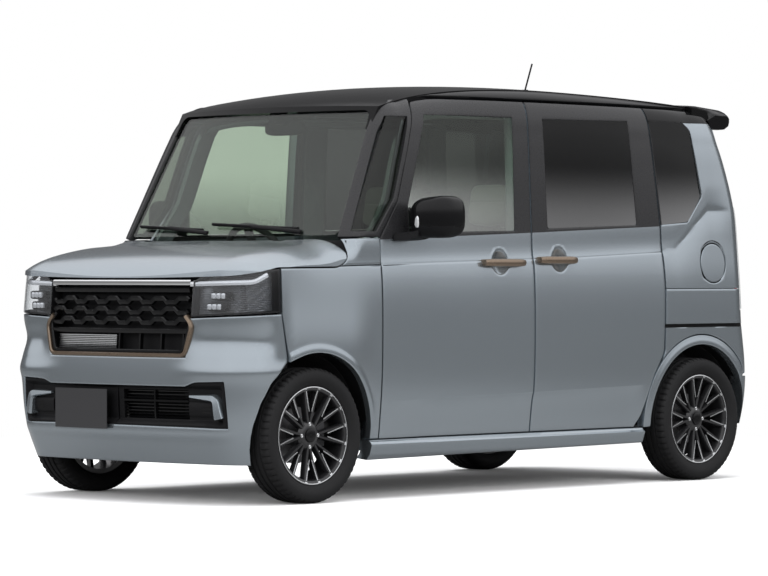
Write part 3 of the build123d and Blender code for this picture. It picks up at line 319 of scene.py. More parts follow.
# %% Kinds of finish
def painted(name, colour, spread, metal, rough, **sockets):
    """Metallic paint: fine flakes vary the base under a smooth clear coat."""
    sockets = {"Coat_Weight": 0.8, "Coat_Roughness": 0.08, "Coat_IOR": 1.45, **sockets}
    material = finish(name, colour, rough, metal, **sockets)
    flakes = pattern(material, "TexVoronoi", 1800.0)
    dark = tuple(c * (1 - spread) for c in colour)
    light = tuple(c * (1 + spread) for c in colour)
    vary_colour(material, flakes.outputs["Color"], dark, light, 0.0, 1.0)
    return material


def moulded(name, colour, rough, grain=900.0, depth=0.00008):
    """Moulded plastic with a fine grain."""
    material = finish(name, colour, rough, Specular_IOR_Level=0.18)
    noise = pattern(material, "TexNoise", grain)
    emboss(material, noise.outputs["Fac"], 0.35, depth)
    vary_rough(material, noise.outputs["Fac"], rough - 0.06, rough + 0.06)
    return material


def handled(name, colour, metal, grain, low, high, **sockets):
    """Metal or gloss plastic whose roughness wanders between two values, as wear and cleaning leave it."""
    material = finish(name, colour, (low + high) / 2, metal, **sockets)
    noise = pattern(material, "TexNoise", grain)
    vary_rough(material, noise.outputs["Fac"], low, high)
    return material


# %% Finishes of the car
PAINT = painted("slate_paint", (0.37, 0.415, 0.45), 0.08, 0.9, 0.24, Coat_Weight=0.5)
BLACK_PAINT = painted(
    "roof_black_paint", (0.003, 0.003, 0.0033), 0.3, 0.0, 0.12, Coat_Weight=0.1, Specular_IOR_Level=0.14
)
PIANO = handled("gloss_black_plastic", (0.003, 0.003, 0.0034), 0.0, 60.0, 0.12, 0.20, Specular_IOR_Level=0.3)
TRIM = moulded("grained_black_trim", (0.005, 0.005, 0.0056), 0.55)
SEAL = moulded("rubber_seal", (0.010, 0.010, 0.010), 0.75, 400.0)
CABIN = moulded("cabin_plastic", (0.045, 0.045, 0.047), 0.6)
BRONZE = handled("bronze_satin", (0.26, 0.20, 0.15), 0.9, 500.0, 0.22, 0.34)
CHROME = handled("bright_chrome", (0.86, 0.87, 0.88), 1.0, 200.0, 0.05, 0.12)
MACHINED = handled("machined_alloy", (0.72, 0.73, 0.74), 1.0, 700.0, 0.18, 0.32)
WHEEL_BLACK = painted("wheel_black_paint", (0.012, 0.012, 0.013), 0.4, 0.2, 0.35)
RUBBER = moulded("tyre_rubber", (0.012, 0.012, 0.0125), 0.7, 600.0, 0.0001)
STEEL = handled("dark_steel", (0.10, 0.10, 0.105), 0.7, 90.0, 0.40, 0.65)
DISC = handled("brake_disc_steel", (0.36, 0.36, 0.37), 1.0, 300.0, 0.28, 0.42)
UNDER = moulded("underbody_coat", (0.02, 0.02, 0.021), 0.8, 250.0, 0.0003)
CLOTH = finish("seat_cloth", (0.36, 0.36, 0.35), 0.9, Sheen_Weight=0.3)
weave = pattern(CLOTH, "TexVoronoi", 420.0)
vary_colour(CLOTH, weave.outputs["Distance"], (0.42, 0.42, 0.41), (0.26, 0.26, 0.26), 0.1, 0.8)
emboss(CLOTH, weave.outputs["Distance"], 0.4, 0.0006)
print("finishes:", len(bpy.data.materials))

# %% [markdown]
# ## Glass
# A pane is thin, so rays pass straight through it with its tint, and a share of them is mirrored instead. That
# share grows at glancing angles. The side panes get a painted reflection: near the belt line their mirrored share
# is raised by the pane's height, not by the light.

# %% Glass
BELT_HEIGHT, PLAIN_HEIGHT = 1.05, 1.44


def tinted(name, clear, mirror=0.04, painted_mirror_at_belt=None):
    """Car glass: a mix of a clear tint and a mirror, by the fifth power of the angle from head-on.

    At the belt line the pane may mirror more, a share that falls smoothly with height to the plain one. This is a
    painted reflection: the share is set by height, not by the light.
    """
    material = finish(name, clear)
    tree = material.node_tree
    facing = node(tree, "LayerWeight", {"Blend": 0.5})
    power = node(tree, "Math", {0: facing.outputs["Facing"], 1: 5.0}, operation="POWER")
    share = node(tree, "MapRange", {"Value": power.outputs["Value"], "To Min": mirror})
    # Painted reflection: near the belt line the mirrored share is raised by the pane's own height.
    if painted_mirror_at_belt is not None:
        height = node(tree, "SeparateXYZ", {"Vector": node(tree, "TexCoord").outputs["Object"]})
        fall = {"From Min": BELT_HEIGHT, "From Max": PLAIN_HEIGHT, "To Min": painted_mirror_at_belt, "To Max": mirror}
        fall["Value"] = height.outputs["Z"]
        falling = node(tree, "MapRange", fall, interpolation_type="SMOOTHSTEP")
        feed(tree, falling.outputs["Result"], share.inputs["To Min"])
    through = node(tree, "BsdfTransparent", {"Color": (*clear, 1)})
    gloss = node(tree, "BsdfGlossy", {"Roughness": 0.01})
    mix = node(tree, "MixShader", {"Fac": share.outputs["Result"], 1: through.outputs[0], 2: gloss.outputs[0]})
    feed(tree, mix.outputs["Shader"], tree.nodes["Material Output"].inputs["Surface"])
    tree.nodes.remove(tree.nodes["Principled BSDF"])
    return material


SCREEN_GLASS = tinted("green_screen_glass", (0.75, 0.80, 0.75), 0.06)
# Door and privacy glass get the painted reflection: at least half the rays are mirrored at the belt line.
CLEAR_GLASS = tinted("green_door_glass", (0.78, 0.84, 0.77), 0.04, 0.5)
DARK_GLASS = tinted("privacy_glass", (0.16, 0.163, 0.166), 0.03, 0.5)
CORNER_GLASS = tinted("green_corner_glass", (0.45, 0.48, 0.44), 0.04)
LENS = tinted("clear_lamp_lens", (0.93, 0.94, 0.95))
print("with glass:", len(bpy.data.materials))

# %% [markdown]
# ## The plain solids get their finish
# Pieces whose solids already have the right shape stay as they are. Their grey is replaced by the finish of the
# real piece, and whatever isn't named here is dull black trim.

# %% Finish of the solids that stay
NODES_BY_FINISH = (
    (UNDER, ["underbody", "fuel_tank"]),
    (PAINT, ["rear_bumper", "hood", "tailgate"]),
    (BLACK_PAINT, ["roof"]),
    (SCREEN_GLASS, ["windscreen"]),
    (CLEAR_GLASS, ["door_glass_left", "door_glass_right"]),
    (DARK_GLASS, ["quarter_glass", "slide_glass", "tailgate_glass"]),
    (CABIN, ["dashboard", "steering_wheel"]),
    (STEEL, ["engine", "exhaust", "front_subframe", "rear_axle", "knuckle_left", "knuckle_right"]),
)
node_finish = {node_name: material for material, names in NODES_BY_FINISH for node_name in names}
for node_name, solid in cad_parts.items():
    solid.data.materials.clear()
    solid.data.materials.append(node_finish.get(node_name, TRIM))


def second_finish(node_name, material, axis, chosen):
    """Give the faces of a solid whose centres pass a test along one axis another finish."""
    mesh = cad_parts[node_name].data
    mesh.materials.append(material)
    centres = np.empty(len(mesh.polygons) * 3)
    mesh.polygons.foreach_get("center", centres)
    mesh.polygons.foreach_set("material_index", chosen(centres[axis::3]).astype(np.int32))


second_finish("quarter_glass", CORNER_GLASS, 1, lambda y: y < -0.4)
second_finish("tailgate", BLACK_PAINT, 2, lambda z: z > 1.64)
print("finished solids:", len(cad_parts))

# %% [markdown]
# ## Sheet metal as closed sheets
# A real panel is pressed sheet, hemmed at its rim, so its edges are round and the gaps beside it read as dark
# lines. Here a panel is a lattice of places on the form. Bent row and column lines follow the shut lines, cells
# inside a window are left out, and the sheet is closed with a back and walls. Lines close to each rim drop by a
# few millimetres, which gives the hemmed edge.

# %% Lattices
RIM_STEPS = np.array([1.2, 4.0])
ROW_CODE = 100
MEETING_ROUNDS = 12


def as_line(line):
    """A lattice line: one number, or a table of (place, value) pairs read by straight interpolation."""
    table = np.array([[0.0, line], [1.0, line]] if np.isscalar(line) else line, float)
    return lambda t: np.interp(t, table[:, 0], table[:, 1]), table[:, 1].mean()


def stations(means, cells):
    """Even steps between neighbouring lines, plus the rim steps (mm) beside each line for rounded rims."""
    steps = []
    for k, count in enumerate(cells):
        near = RIM_STEPS / max(abs(means[k + 1] - means[k]), 24.0)
        inner = np.linspace(0, 1, count + 1)[1:-1]
        inner = inner[(inner > 1.6 * near[1]) & (inner < 1 - 1.6 * near[1])]
        steps.append(k + np.concatenate([[0.0], near, inner, 1 - near[::-1]]))
    return np.concatenate(steps + [[float(len(cells))]])


def lattice(cols, rows, col_cells, row_cells):
    """Grid of (m, z): column lines give m for a height, row lines give z for a place, and both are met.

    The third array has each cell's strip: the row strip times ROW_CODE, plus the column strip.
    """
    col_lines, col_means = zip(*[as_line(c) for c in cols])
    row_lines, row_means = zip(*[as_line(r) for r in rows])
    u, v = stations(col_means, col_cells), stations(row_means, row_cells)
    m = np.broadcast_to(np.interp(u, np.arange(len(cols)), col_means), (len(v), len(u)))
    z = np.broadcast_to(np.interp(v, np.arange(len(rows)), row_means)[:, None], (len(v), len(u)))
    ku = np.clip(u.astype(int), 0, len(cols) - 2)
    kv = np.clip(v.astype(int), 0, len(rows) - 2)
    for _ in range(MEETING_ROUNDS):
        r, c = np.indices(z.shape)
        at = np.stack([f(m) for f in row_lines])
        z = at[kv[r], r, c] + (at[kv[r] + 1, r, c] - at[kv[r], r, c]) * (v - kv)[:, None]
        at = np.stack([f(z) for f in col_lines])
        m = at[ku[c], r, c] + (at[ku[c] + 1, r, c] - at[ku[c], r, c]) * (u - ku)[None, :]
    return m, z, kv[:-1, None] * ROW_CODE + ku[None, :-1]


def in_strips(strip, places):
    """Mark the cells that lie in any of the (row, column) strips."""
    return np.isin(strip, [row * ROW_CODE + col for row, col in places])


print("a square of 4 by 4 cells has the grid", lattice([0, 400], [0, 400], [4], [4])[0].shape)

# %% Closed sheets
def rim_drop(keep):
    """How far each lattice corner drops for the hemmed rim: 3 mm on it, 0.8 mm one line in, then nothing."""
    count = np.zeros((keep.shape[0] + 1, keep.shape[1] + 1))
    for dr in (0, 1):
        for dc in (0, 1):
            count[dr : dr + keep.shape[0], dc : dc + keep.shape[1]] += keep
    rim = (count > 0) & (count < 4)
    wide = np.pad(rim, 1)
    beside = wide[:-2, 1:-1] | wide[2:, 1:-1] | wide[1:-1, :-2] | wide[1:-1, 2:]
    return np.where(rim, 3.0, np.where(beside & (count == 4), 0.8, 0.0))


def sheet_faces(keep):
    """Front cells, reversed back cells, and walls wherever a kept cell has no neighbour."""
    rows, cols = keep.shape
    wide = cols + 1
    back = (rows + 1) * wide
    r, c = np.nonzero(keep)
    a = r * wide + c
    front = np.stack([a, a + 1, a + wide + 1, a + wide], -1)
    faces = [front, front[:, ::-1] + back]
    edge = np.pad(keep, 1)
    sides = (
        (edge[:-2, 1:-1], 0, 1), (edge[2:, 1:-1], wide + 1, wide),
        (edge[1:-1, 2:], 1, wide + 1), (edge[1:-1, :-2], wide, 0),
    )
    for neighbour, p, q in sides:
        r, c = np.nonzero(keep & ~neighbour)
        a = r * wide + c
        faces.append(np.stack([a + q, a + p, a + p + back, a + q + back], -1))
    return np.concatenate(faces)


def sheet(name, front, back, materials, body, replaces=(), side=1, keep=None, pick=None):
    """Closed sheet from a front and a back grid; keep marks the cells that stay, pick gives their materials."""
    keep = np.ones(np.array(front.shape[:2]) - 1, bool) if keep is None else keep
    faces = sheet_faces(keep)
    points = np.concatenate([front.reshape(-1, 3), back.reshape(-1, 3)])
    used, index = np.unique(faces, return_inverse=True)
    piece = make_piece(name, points[used], index.reshape(faces.shape), materials[0], body, replaces, side)
    for extra in materials[1:]:
        piece.data.materials.append(extra)
    if pick is not None:
        numbers = np.zeros(len(faces), np.int32)
        kept = pick[keep]
        numbers[: len(kept)] = kept
        numbers[len(kept) : 2 * len(kept)] = kept
        piece.data.polygons.foreach_set("material_index", numbers[: len(piece.data.polygons)])
    return piece


# %% Panels on the form
def panel(
    name, net, depth, thick, materials, body, replaces=(), holes=(), pick=None,
    sides=(1, -1), screen=False, joined=(),
):
    """A sheet on the car's form: depth is inwards from the form, holes are (row, column) strips left out.

    Joined strips are left out too, but get no hem, because another sheet goes on from there.
    """
    m, z, strip = net
    keep = ~in_strips(strip, holes)
    hem = rim_drop(keep)
    keep = keep & ~in_strips(strip, joined)
    inward = np.broadcast_to(depth(m, z) if callable(depth) else depth, m.shape)
    front = form_at(m, z, inward + hem, screen)
    back = form_at(m, z, inward + thick, screen)
    for side in sides:
        tag = dict(SIDES)[side]
        own = name + "_" + tag if len(sides) == 2 else name
        rider, *nodes = [given.replace("SIDE", tag) for given in (body, *replaces)]
        sheet(own, front, back, materials, rider, nodes, side, keep, pick)
    print(name, m.shape, int(keep.sum()))


# %% [markdown]
# ## Creases of the body side
# Two pressed lines run along the side. The shoulder line starts behind the front wheel arch, passes the handles
# and kicks up round the rear window. The lower line runs above the sill. Each is a small step inwards that starts
# sharply at the line and fades away from it, which is how light picks it out on the real car.

# %% Crease depth
SHOULDER = np.array(
    [[-900, 985], [-546, 995], [408, 1020], [1030, 1047], [1116, 1057], [1206, 1122], [1361, 1242.0]]
)
LOWER = np.array([[-900, 408], [-542, 417], [884, 446], [1700, 470.0]])
HOLLOW, REAR_HOLLOW = 5.0, 12.0


def shoulder_hollow(above, deep=HOLLOW):
    """Hollow along the shoulder line: an exponential below it; above it 5 mm are left at once, and then half."""
    below = deep * np.exp(np.minimum(above, 0) / 65)
    over = HOLLOW * (1 - 0.5 * ease(above, 20, 120)) + (deep - HOLLOW) * np.exp(-np.maximum(above, 0) / 15)
    return np.where(above < 0, below, over)


def creases(m, z):
    """Depth of both pressed lines: a step times one minus a falling exponential of the distance past the line.

    The shoulder line also has a fine groove, a bell curve about 3 mm wide, and lies in a shallow hollow.
    The hollow deepens from 5 to 12 mm behind the sliding door and ends before the corner.
    """
    above = z - np.interp(m, SHOULDER[:, 0], SHOULDER[:, 1])
    below = np.interp(m, LOWER[:, 0], LOWER[:, 1]) - z
    rise = np.maximum(above, 0)
    step = 2.5 * (1 - np.exp(-rise / 4)) + 3 * (1 - np.exp(-rise / 30)) + 2.5 * np.exp(-((above / 2.2) ** 2))
    hollow = shoulder_hollow(above, HOLLOW + (REAR_HOLLOW - HOLLOW) * ease(m, 900, 1250))
    shoulder = step * (1 - ease(m, 1240, 1380)) + hollow * (1 - ease(m, 1380, 1540))
    lower = 9 * ease(m, -800, -450) * (1 - ease(m, 780, 900)) * (1 - np.exp(-np.maximum(below, 0) / 30))
    return shoulder + lower


CUP_RADIUS, CUP_RIM, CUP_FLOOR = 62, 10, 4
BALL_RADIUS, BALL_OUT = 95.0, 76


def with_cup(m_cup, z_cup):
    """Crease depth with a ball-shaped hollow behind the handle, softened at its rim, in place of the creases."""
    def depth(m, z):
        """The creases outside the cup, and inside it a flat floor plus the depth of a ball that stands out."""
        away = np.hypot(m - m_cup, z - z_cup)
        bite = np.sqrt(np.maximum(BALL_RADIUS**2 - away**2, 0)) - BALL_OUT
        hollow = 0.5 * (bite + np.sqrt(bite**2 + 6))
        inside = ease(CUP_RADIUS - away, 0, CUP_RIM)
        return creases(m, z) * (1 - inside) + (CUP_FLOOR + hollow) * inside
    return depth


print("depth on the shoulder line:", creases(0.0, 1009.3).round(2))


# %% [markdown]
# ## Doors
# Front door and sliding door are alike: one pressing from sill to belt in body colour and a window frame above it
# under black film. Columns bend with the screen pillar in front and with the wheel arch at the back.

# %% Door tops
FILM = handled("black_pillar_film", (0.012, 0.012, 0.013), 0.0, 300.0, 0.22, 0.34, Specular_IOR_Level=0.5)


def seam_z(x, low=1600.0):
    """Height of the line on the form with half-width x, as a table of (m, z) along the car."""
    ms = np.linspace(-760, 1560, 30)
    zs = np.linspace(low, 1790, 400)
    widths = half_width(ms[:, None], zs[None, :])
    return np.stack([ms, zs[np.argmin(np.abs(widths - x), 1)]], -1)


DOOR_TOP = seam_z(619)
DOOR_TOP[:, 1] = np.minimum(1708, DOOR_TOP[:, 1])
print("door tops between", DOOR_TOP[:, 1].min().round(), "and", DOOR_TOP[:, 1].max().round())

# %% Front doors
door_cols = [
    [(252, -833.5), (1103, -833.5), (1254, -716), (1670, -571), (1708, -535)],
    [(252, -652.5), (1241, -652.5), (1632, -515.5), (1708, -489)],
    -165,
    -22,
    [(252, 12.5), (1137, 12.5), (1632, 24.5), (1708, 26)],
    120.5,
]
door_rows = [
    256, LOWER, 934, SHOULDER, 1070, [(-833, 1093), (-539, 1105), (126, 1129)],
    [(-833, 1119), (-652, 1123), (12, 1137), (126, 1140)], 1632, DOOR_TOP,
]
door_net = lattice(door_cols, door_rows, [10, 24, 28, 3, 6], [10, 30, 13, 12, 4, 2, 26, 4])
door_pick = (door_net[2] // ROW_CODE >= 5).astype(np.int32)
door_window = [(6, 1), (6, 2), (6, 3)]
door_depth = with_cup(-93.5, 1002)
panel("door_skin", door_net, door_depth, 50, [PAINT, FILM], "door_SIDE", ["door_SIDE"], door_window, door_pick)

# %% Sliding doors
slide_cols = [
    128.5,
    [(252, 230), (1148, 232.5), (1630, 224.5), (1708, 223)],
    366,
    [(252, 690), (500, 790), (1168, 842.5), (1638, 810.5), (1708, 805)],
    [(252, 826), (305, 868), (494, 948), (590, 1010), (700, 1016), (875, 1020), (1165, 1008), (1708, 951)],
]
slide_rows = [
    256, LOWER, 946, SHOULDER, 1082, [(126, 1129), (1015, 1165)],
    [(128, 1144), (232, 1148), (842, 1168), (1010, 1173)],
    [(128, 1629), (224, 1630), (810, 1638), (960, 1640)], DOOR_TOP,
]
slide_net = lattice(slide_cols, slide_rows, [6, 28, 22, 10], [10, 30, 13, 12, 6, 2, 26, 4])
slide_pick = (slide_net[2] // ROW_CODE >= 5).astype(np.int32)
slide_window = [(6, 1), (6, 2)]
slide_depth = with_cup(298.0, 1014)
slide = (slide_net, slide_depth, 50, [PAINT, FILM], "body")
panel("slide_door_skin", *slide, ["slide_doors"], slide_window, slide_pick)

# %% [markdown]
# ## Rear quarter, arches and sill
# Behind the sliding door the quarter panel wraps round the corner to the tailgate. A line above the slide rail
# divides it, the arch has a flanged lip, and the sill carries a fuller skirt.

# %% Quarter panels
def tail_edge(points):
    """Column line round the rear corner: pairs of height and half-width become heights and walks."""
    return [(z, float(walk_to_tail(x, z))) for z, x in points]


def corner_column(y):
    """Column line at a lengthwise place y on the rear corner, as heights and walks."""
    walk = np.linspace(1380, 1700, 400)
    heights = np.linspace(484, 1280, 18)
    return [(height, float(np.interp(y, form(walk, height)[:, 1], walk))) for height in heights]


lamp_edge = corner_column(1579)
quarter_rear = tail_edge(
    [(480, 600), (880, 600), (1180, 600), (1272, 600), (1292, 668), (1500, 660), (1708, 650)]
)
upper_cols = [
    [(881, 1028.5), (1165, 1016.5), (1708, 959)],
    [(881, 1040), (1172, 1024), (1644, 968.5), (1708, 966)],
    [(881, 1140), (1176, 1200), (1190, 1216), (1305, 1322), (1612, 1271), (1644, 1224), (1708, 1215)],
    [(881, 1264), (1108, 1264), (1176, 1285), (1305, 1355), (1500, 1340), (1708, 1290)],
    [(881, 1484), (1108, 1484), (1305, 1470), (1500, 1440), (1708, 1380)],
    lamp_edge + [(1320, 1530), (1500, 1490), (1708, 1430)],
    quarter_rear,
]
upper_rows = [882, 888, 1108, [(1000, 1171), (1230, 1187), (1700, 1187)], 1262, 1644, DOOR_TOP]
upper_net = lattice(upper_cols, upper_rows, [2, 16, 6, 20, 10, 10], [1, 18, 7, 8, 30, 5])
upper_strip = upper_net[2]
upper_row, upper_col = upper_strip // ROW_CODE, upper_strip % ROW_CODE
beside_window = (upper_row >= 3) & (upper_col <= 1)
upper_pick = np.where(upper_row >= 5, 2, beside_window).astype(np.int32)
quarter_holes = [(3, 1), (4, 1), (0, 5), (1, 5), (2, 5), (3, 5)]
upper_looks = [PAINT, FILM, BLACK_PAINT]
upper = (upper_net, creases, 40, upper_looks, "body")
panel("quarter_upper_left", *upper, ["side_frames"], quarter_holes, upper_pick, [1], joined=[(1, 3)])
panel("quarter_upper_right", *upper, [], quarter_holes, upper_pick, [-1])

# %% [markdown]
# The left quarter has the fuel lid. A patch leads from a square gap in the lattice to a round hole, and the lid is
# a disc made from a square grid that is pressed round. Beside the hinge the hole is a little wider, so that the
# open lid clears its rim.

# %% Fuel lid
LID_M, LID_Z = 1374.5, 998.0
LID_RADIUS, HOLE_RADIUS, LID_WALL = 89, 93, 5
turn, step = np.meshgrid(np.linspace(0, 2 * np.pi, 129), np.array([0, 0.35, 0.7, 0.87, 0.96, 1.0]))
square = 110.6 / np.maximum(np.abs(np.cos(turn)), np.abs(np.sin(turn)))
hinge_side = np.exp(-(((np.abs(turn - np.pi) - 0.66) / 0.2) ** 2))
reach = square + (HOLE_RADIUS + 4.5 * hinge_side - square) * step
patch_m, patch_z = LID_M + reach * np.cos(turn), LID_Z + reach * np.sin(turn)
patch_depth = creases(patch_m, patch_z) + np.array([0.02, 0, 0, 0, 0.8, 3.0])[:, None]
patch = form_at(patch_m, patch_z, patch_depth)
sheet("lid_surround", patch, form_at(patch_m, patch_z, patch_depth + LID_WALL), [PAINT], "body")

u, v = np.meshgrid(stations([0, 180.0], [26]), stations([0, 180.0], [26]))
u, v = 2 * u - 1, 2 * v - 1
lid_m = LID_M + LID_RADIUS * u * np.sqrt(1 - v * v / 2)
lid_z = LID_Z + LID_RADIUS * v * np.sqrt(1 - u * u / 2)
lid_hem = rim_drop(np.ones(np.array(u.shape) - 1, bool))
lid_front = form_at(lid_m, lid_z, creases(lid_m, lid_z) + lid_hem)
lid_back = form_at(lid_m, lid_z, creases(lid_m, lid_z) + LID_WALL)
sheet("fuel_lid_skin", lid_front, lid_back, [PAINT], "fuel_lid", ["fuel_lid"])
print("fuel lid", lid_front.shape)

# %% [markdown]
# Below the dividing line the quarter ends at the wheel arch. The slide rail is a dark groove across it, and a dull
# backing closes the seam to the rear bumper.

# %% Lower quarter panels
arch_m = np.linspace(900, 1720, 120)
arch_top = AXLE_Z + np.sqrt(np.maximum(391.0**2 - (arch_m - REAR_AXLE) ** 2, 1))
lower_rows = [np.stack([arch_m, np.maximum(484, arch_top)], -1), 704, 719, 783, 880]
lower_cols = [[(484, 962), (590, 1024), (700, 1026), (880, 1030)], lamp_edge, quarter_rear]
lower_net = lattice(lower_cols, lower_rows, [44, 16], [10, 3, 6, 8])
lower_pick = in_strips(lower_net[2], [(1, 0), (1, 1)]).astype(np.int32)


def rail_depth(m, z):
    """The slide rail is a groove 14 mm deep between two row lines, ending before the corner."""
    return 14 * ease(z, 703, 706) * (1 - ease(z, 717, 720)) * (1 - ease(m, 1600, 1625))


panel("quarter_lower", lower_net, rail_depth, 40, [PAINT, TRIM], "body", [], [(3, 1)], lower_pick)

seam_net = lattice([1562, tail_edge([(z, 2) for z in (430, 480, 530)])], [436, 528], [30], [6])
panel("bumper_seam_backing", seam_net, 44.0, 6, [TRIM], "body")

# %% [markdown]
# The rear arch has a lip of its own that stands out 4 mm and carries on from the door's edge to the bumper. The
# sill skirt is one long pressing between the wheels.

# %% Arch lips and sill skirts
LIP_RADII = ARCH_RADIUS + np.array([0, 1.2, 4, 12, 23, 34, 39, 42, 43.2])
turn, radius = np.meshgrid(np.radians(np.linspace(31.5, 184, 70)), LIP_RADII)
lip_net = (REAR_AXLE + radius * np.cos(turn), AXLE_Z + radius * np.sin(turn), np.zeros((8, 69), int))


def lip_depth(m, z):
    """The lip stands out 4 mm inside a radius of 363 mm and falls to the panel over the next 14 mm."""
    return -4 * ease(377 - np.hypot(m - REAR_AXLE, z - AXLE_Z), 0, 14)


panel("arch_lip", lip_net, lip_depth, 40, [PAINT], "body")


def skirt_depth(m, z):
    """The skirt stands out 12 mm below a narrow shoulder, leans in towards the road and tucks under."""
    return 4 - 16 * ease(248 - z, 2, 12) + 9 * ease(240 - z, 0, 60) + 14 * ease(192 - z, 0, 26)


skirt_net = lattice([-888, 896], [[(-888, 165), (896, 184)], 251], [60], [14])
panel("skirt", skirt_net, skirt_depth, 60, [PAINT], "body")

# %% [markdown]
# The front fender is a patch from the arch up to the hood's side edge, with a thin strip that runs down to the
# sill behind the wheel. At the hood's rear corner its edge is an arc about the hood's axis.

# %% Front fenders
HOOD_Y, HOOD_Z, HOOD_RADIUS = -1121.5, 1073, 99.5
front_m = FRONT_AXLE + ARCH_RADIUS * np.cos(np.linspace(2.2, 0.02, 80))
front_arch = np.stack([front_m, AXLE_Z + np.sqrt(ARCH_RADIUS**2 - (front_m - FRONT_AXLE) ** 2)], -1)
hood_turn = np.radians(np.linspace(0, 20.8, 5))
hood_corner = np.stack([HOOD_Y + HOOD_RADIUS * np.sin(hood_turn), HOOD_Z - HOOD_RADIUS * np.cos(hood_turn)], -1)
fender_rows = [
    np.concatenate([front_arch, [(-893.5, 257), (-841, 257)]]),
    np.concatenate([[(-1440, 970.5), (-1180, 973)], hood_corner, [(-841, 986.7)]]),
]
fender_cols = [[(540, -1391), (608, -1393), (780, -1427), (975, -1431)], -960, -896, -891, -841.5]
fender_net = lattice(fender_cols, fender_rows, [44, 9, 1, 4], [44])


def fender_depth(m, z):
    """A flat lip round the arch stands out 4 mm, and the fender swells by 18 mm over the wheel."""
    lip = 4 * (1 - ease(np.hypot(m - FRONT_AXLE, z - AXLE_Z), 362, 378)) * (z > AXLE_Z)
    swell = 18 * np.exp(-(((z - 600) / 200) ** 2)) * ease(-m, 850, 1050) * (1 - ease(-m, 1350, 1430))
    line = np.interp(m, SHOULDER[:, 0], SHOULDER[:, 1])
    return shoulder_hollow(z - line) * ease(m, -1400, -1150) - lip - swell


panel("fender", fender_net, fender_depth, 30, [PAINT], "body", ["front_fenders"])

# %% [markdown]
# Above the shoulder line the fender runs on between hood and door up to the foot of the screen pillar. It starts
# level with the side and turns into the screen's corner, so its form is a mix of both by height.

# %% Fender shoulders
def corner_share(z):
    """Share of the screen's form: none at the shoulder line, all of it 60 mm higher."""
    return ease(z, 1005, 1065)


def corner_walk(y, z):
    """The walk that reaches a lengthwise place y beside the hood at height z."""
    steps = np.linspace(-1180, -841, 300)
    return float(np.interp(y, form(steps, z, corner_share)[:, 1], steps))


shoulder_front = []
for height in np.linspace(980, 1100, 13):
    behind = math.sqrt(HOOD_RADIUS**2 - min(height - HOOD_Z, 0) ** 2)
    shoulder_front.append((height, corner_walk(HOOD_Y + behind, height)))
shoulder_rows = [[(-1086, 982.4), (-841, 989.2)], [(-1120, 1092), (-990, 1097), (-841, 1100)]]
shoulder_net = lattice([shoulder_front, -960, -841.5], shoulder_rows, [16, 10], [20])


def shoulder_depth(m, z):
    """The fender's 5 mm hollow, fading up to the screen pillar and forward to the hood."""
    return HOLLOW * (1 - ease(z, 985, 1090)) * ease(m, -1080, -960)


panel("fender_shoulder", shoulder_net, shoulder_depth, 24, [PAINT], "body", screen=corner_share)

# %% [markdown]
# Between the hood's rear edge and the foot of the screen lies the cowl, a dull cover that falls towards the sides.
# Its front edge keeps clear of the hood as that swings up.

# %% Cowl cover
COWL_X = np.array([0, 300, 500, 600, 650, 690.0])
COWL_Z = np.array([1090, 1089, 1085, 1078, 1066, 1042.0])
cowl_x, cowl_t = np.meshgrid(np.linspace(-690, 690, 90), np.linspace(0, 1, 10))
hood_rear = -1153 + 137 * (cowl_x / 737.5) ** 2 + 9 * ease(np.abs(cowl_x), 200, 380)
screen_foot = -1085 + 80 * (cowl_x / 728) ** 2
cowl_y = hood_rear + (screen_foot - hood_rear) * cowl_t
cowl_z = along(np.abs(cowl_x), COWL_X, COWL_Z) - 6 + 4 * np.cos(2 * np.pi * cowl_t) * (1 - cowl_t)
cowl_z = cowl_z + (1088 - cowl_z) * ease(cowl_t, 0.6, 1)
cowl_top = np.stack([cowl_x, cowl_y, cowl_z], -1)
sheet("cowl_top", cowl_top, cowl_top - [0, 0, 12], [TRIM], "body")
print("cowl cover", cowl_top.shape)

# %% [markdown]
# ## Pillars and roof rail
# The screen pillar is black and holds the small corner window. Above the doors a gloss black rail runs back to the
# spoiler. Inside, a frame with two openings stands for the pillars and sill that show when a door is open.

# %% Screen pillars
def screen_edge(points):
    """Column line on the screen side: pairs of height and half-width become heights and walks."""
    return [(z, float(walk_to_nose(x, z, True))) for z, x in points]


pillar_heights = np.linspace(1104, 1706, 9)
pillar_cols = [
    screen_edge([(z, 645 - 65 * (z - 1110) / 535) for z in pillar_heights]),
    screen_edge([(z, 689 - 57 * (z - 1127) / 493) for z in pillar_heights]),
    [(1104, -880), (1127, -866), (1265, -749), (1620, -620), (1706, -588)],
    [(1104, -845), (1256, -725), (1672, -580), (1706, -552)],
]
pillar_rows = [1104, 1128, 1619, [(-900, 1640), (-760, 1668), (-640, 1694), (-540, 1702)]]
pillar_net = lattice(pillar_cols, pillar_rows, [4, 10, 3], [2, 34, 5])
panel("screen_pillar", pillar_net, 0.0, 30, [FILM], "body", holes=[(1, 1)], screen=True)

# %% Roof rails and door apertures
rail_low = DOOR_TOP + [0, 8]
rail_high = seam_z(611)
rail_high[:, 1] = np.maximum(rail_high[:, 1], rail_low[:, 1] + 4)
rail_net = lattice([-600, 1480], [rail_low, rail_high], [70], [6])
panel("roof_rail", rail_net, 0.0, 24, [BLACK_PAINT], "body")

aperture_cols = [
    [(200, -860), (1103, -860), (1254, -742), (1690, -590)],
    [(200, -770), (1103, -770), (1254, -655), (1690, -500)],
    60,
    190,
    [(200, 700), (305, 780), (494, 860), (590, 930), (875, 940), (1165, 930), (1690, 870)],
    [(200, 840), (305, 890), (494, 985), (590, 1050), (875, 1060), (1165, 1045), (1690, 985)],
]
aperture_top = seam_z(640)
aperture_top[:, 1] = np.minimum(aperture_top[:, 1], 1700)
aperture_rows = [200, 300, aperture_top - [0, 60], aperture_top]
aperture_net = lattice(aperture_cols, aperture_rows, [3, 20, 4, 20, 4], [4, 30, 3])
panel("door_aperture", aperture_net, 61.0, 26, [PAINT], "body", holes=[(1, 1), (1, 3)])

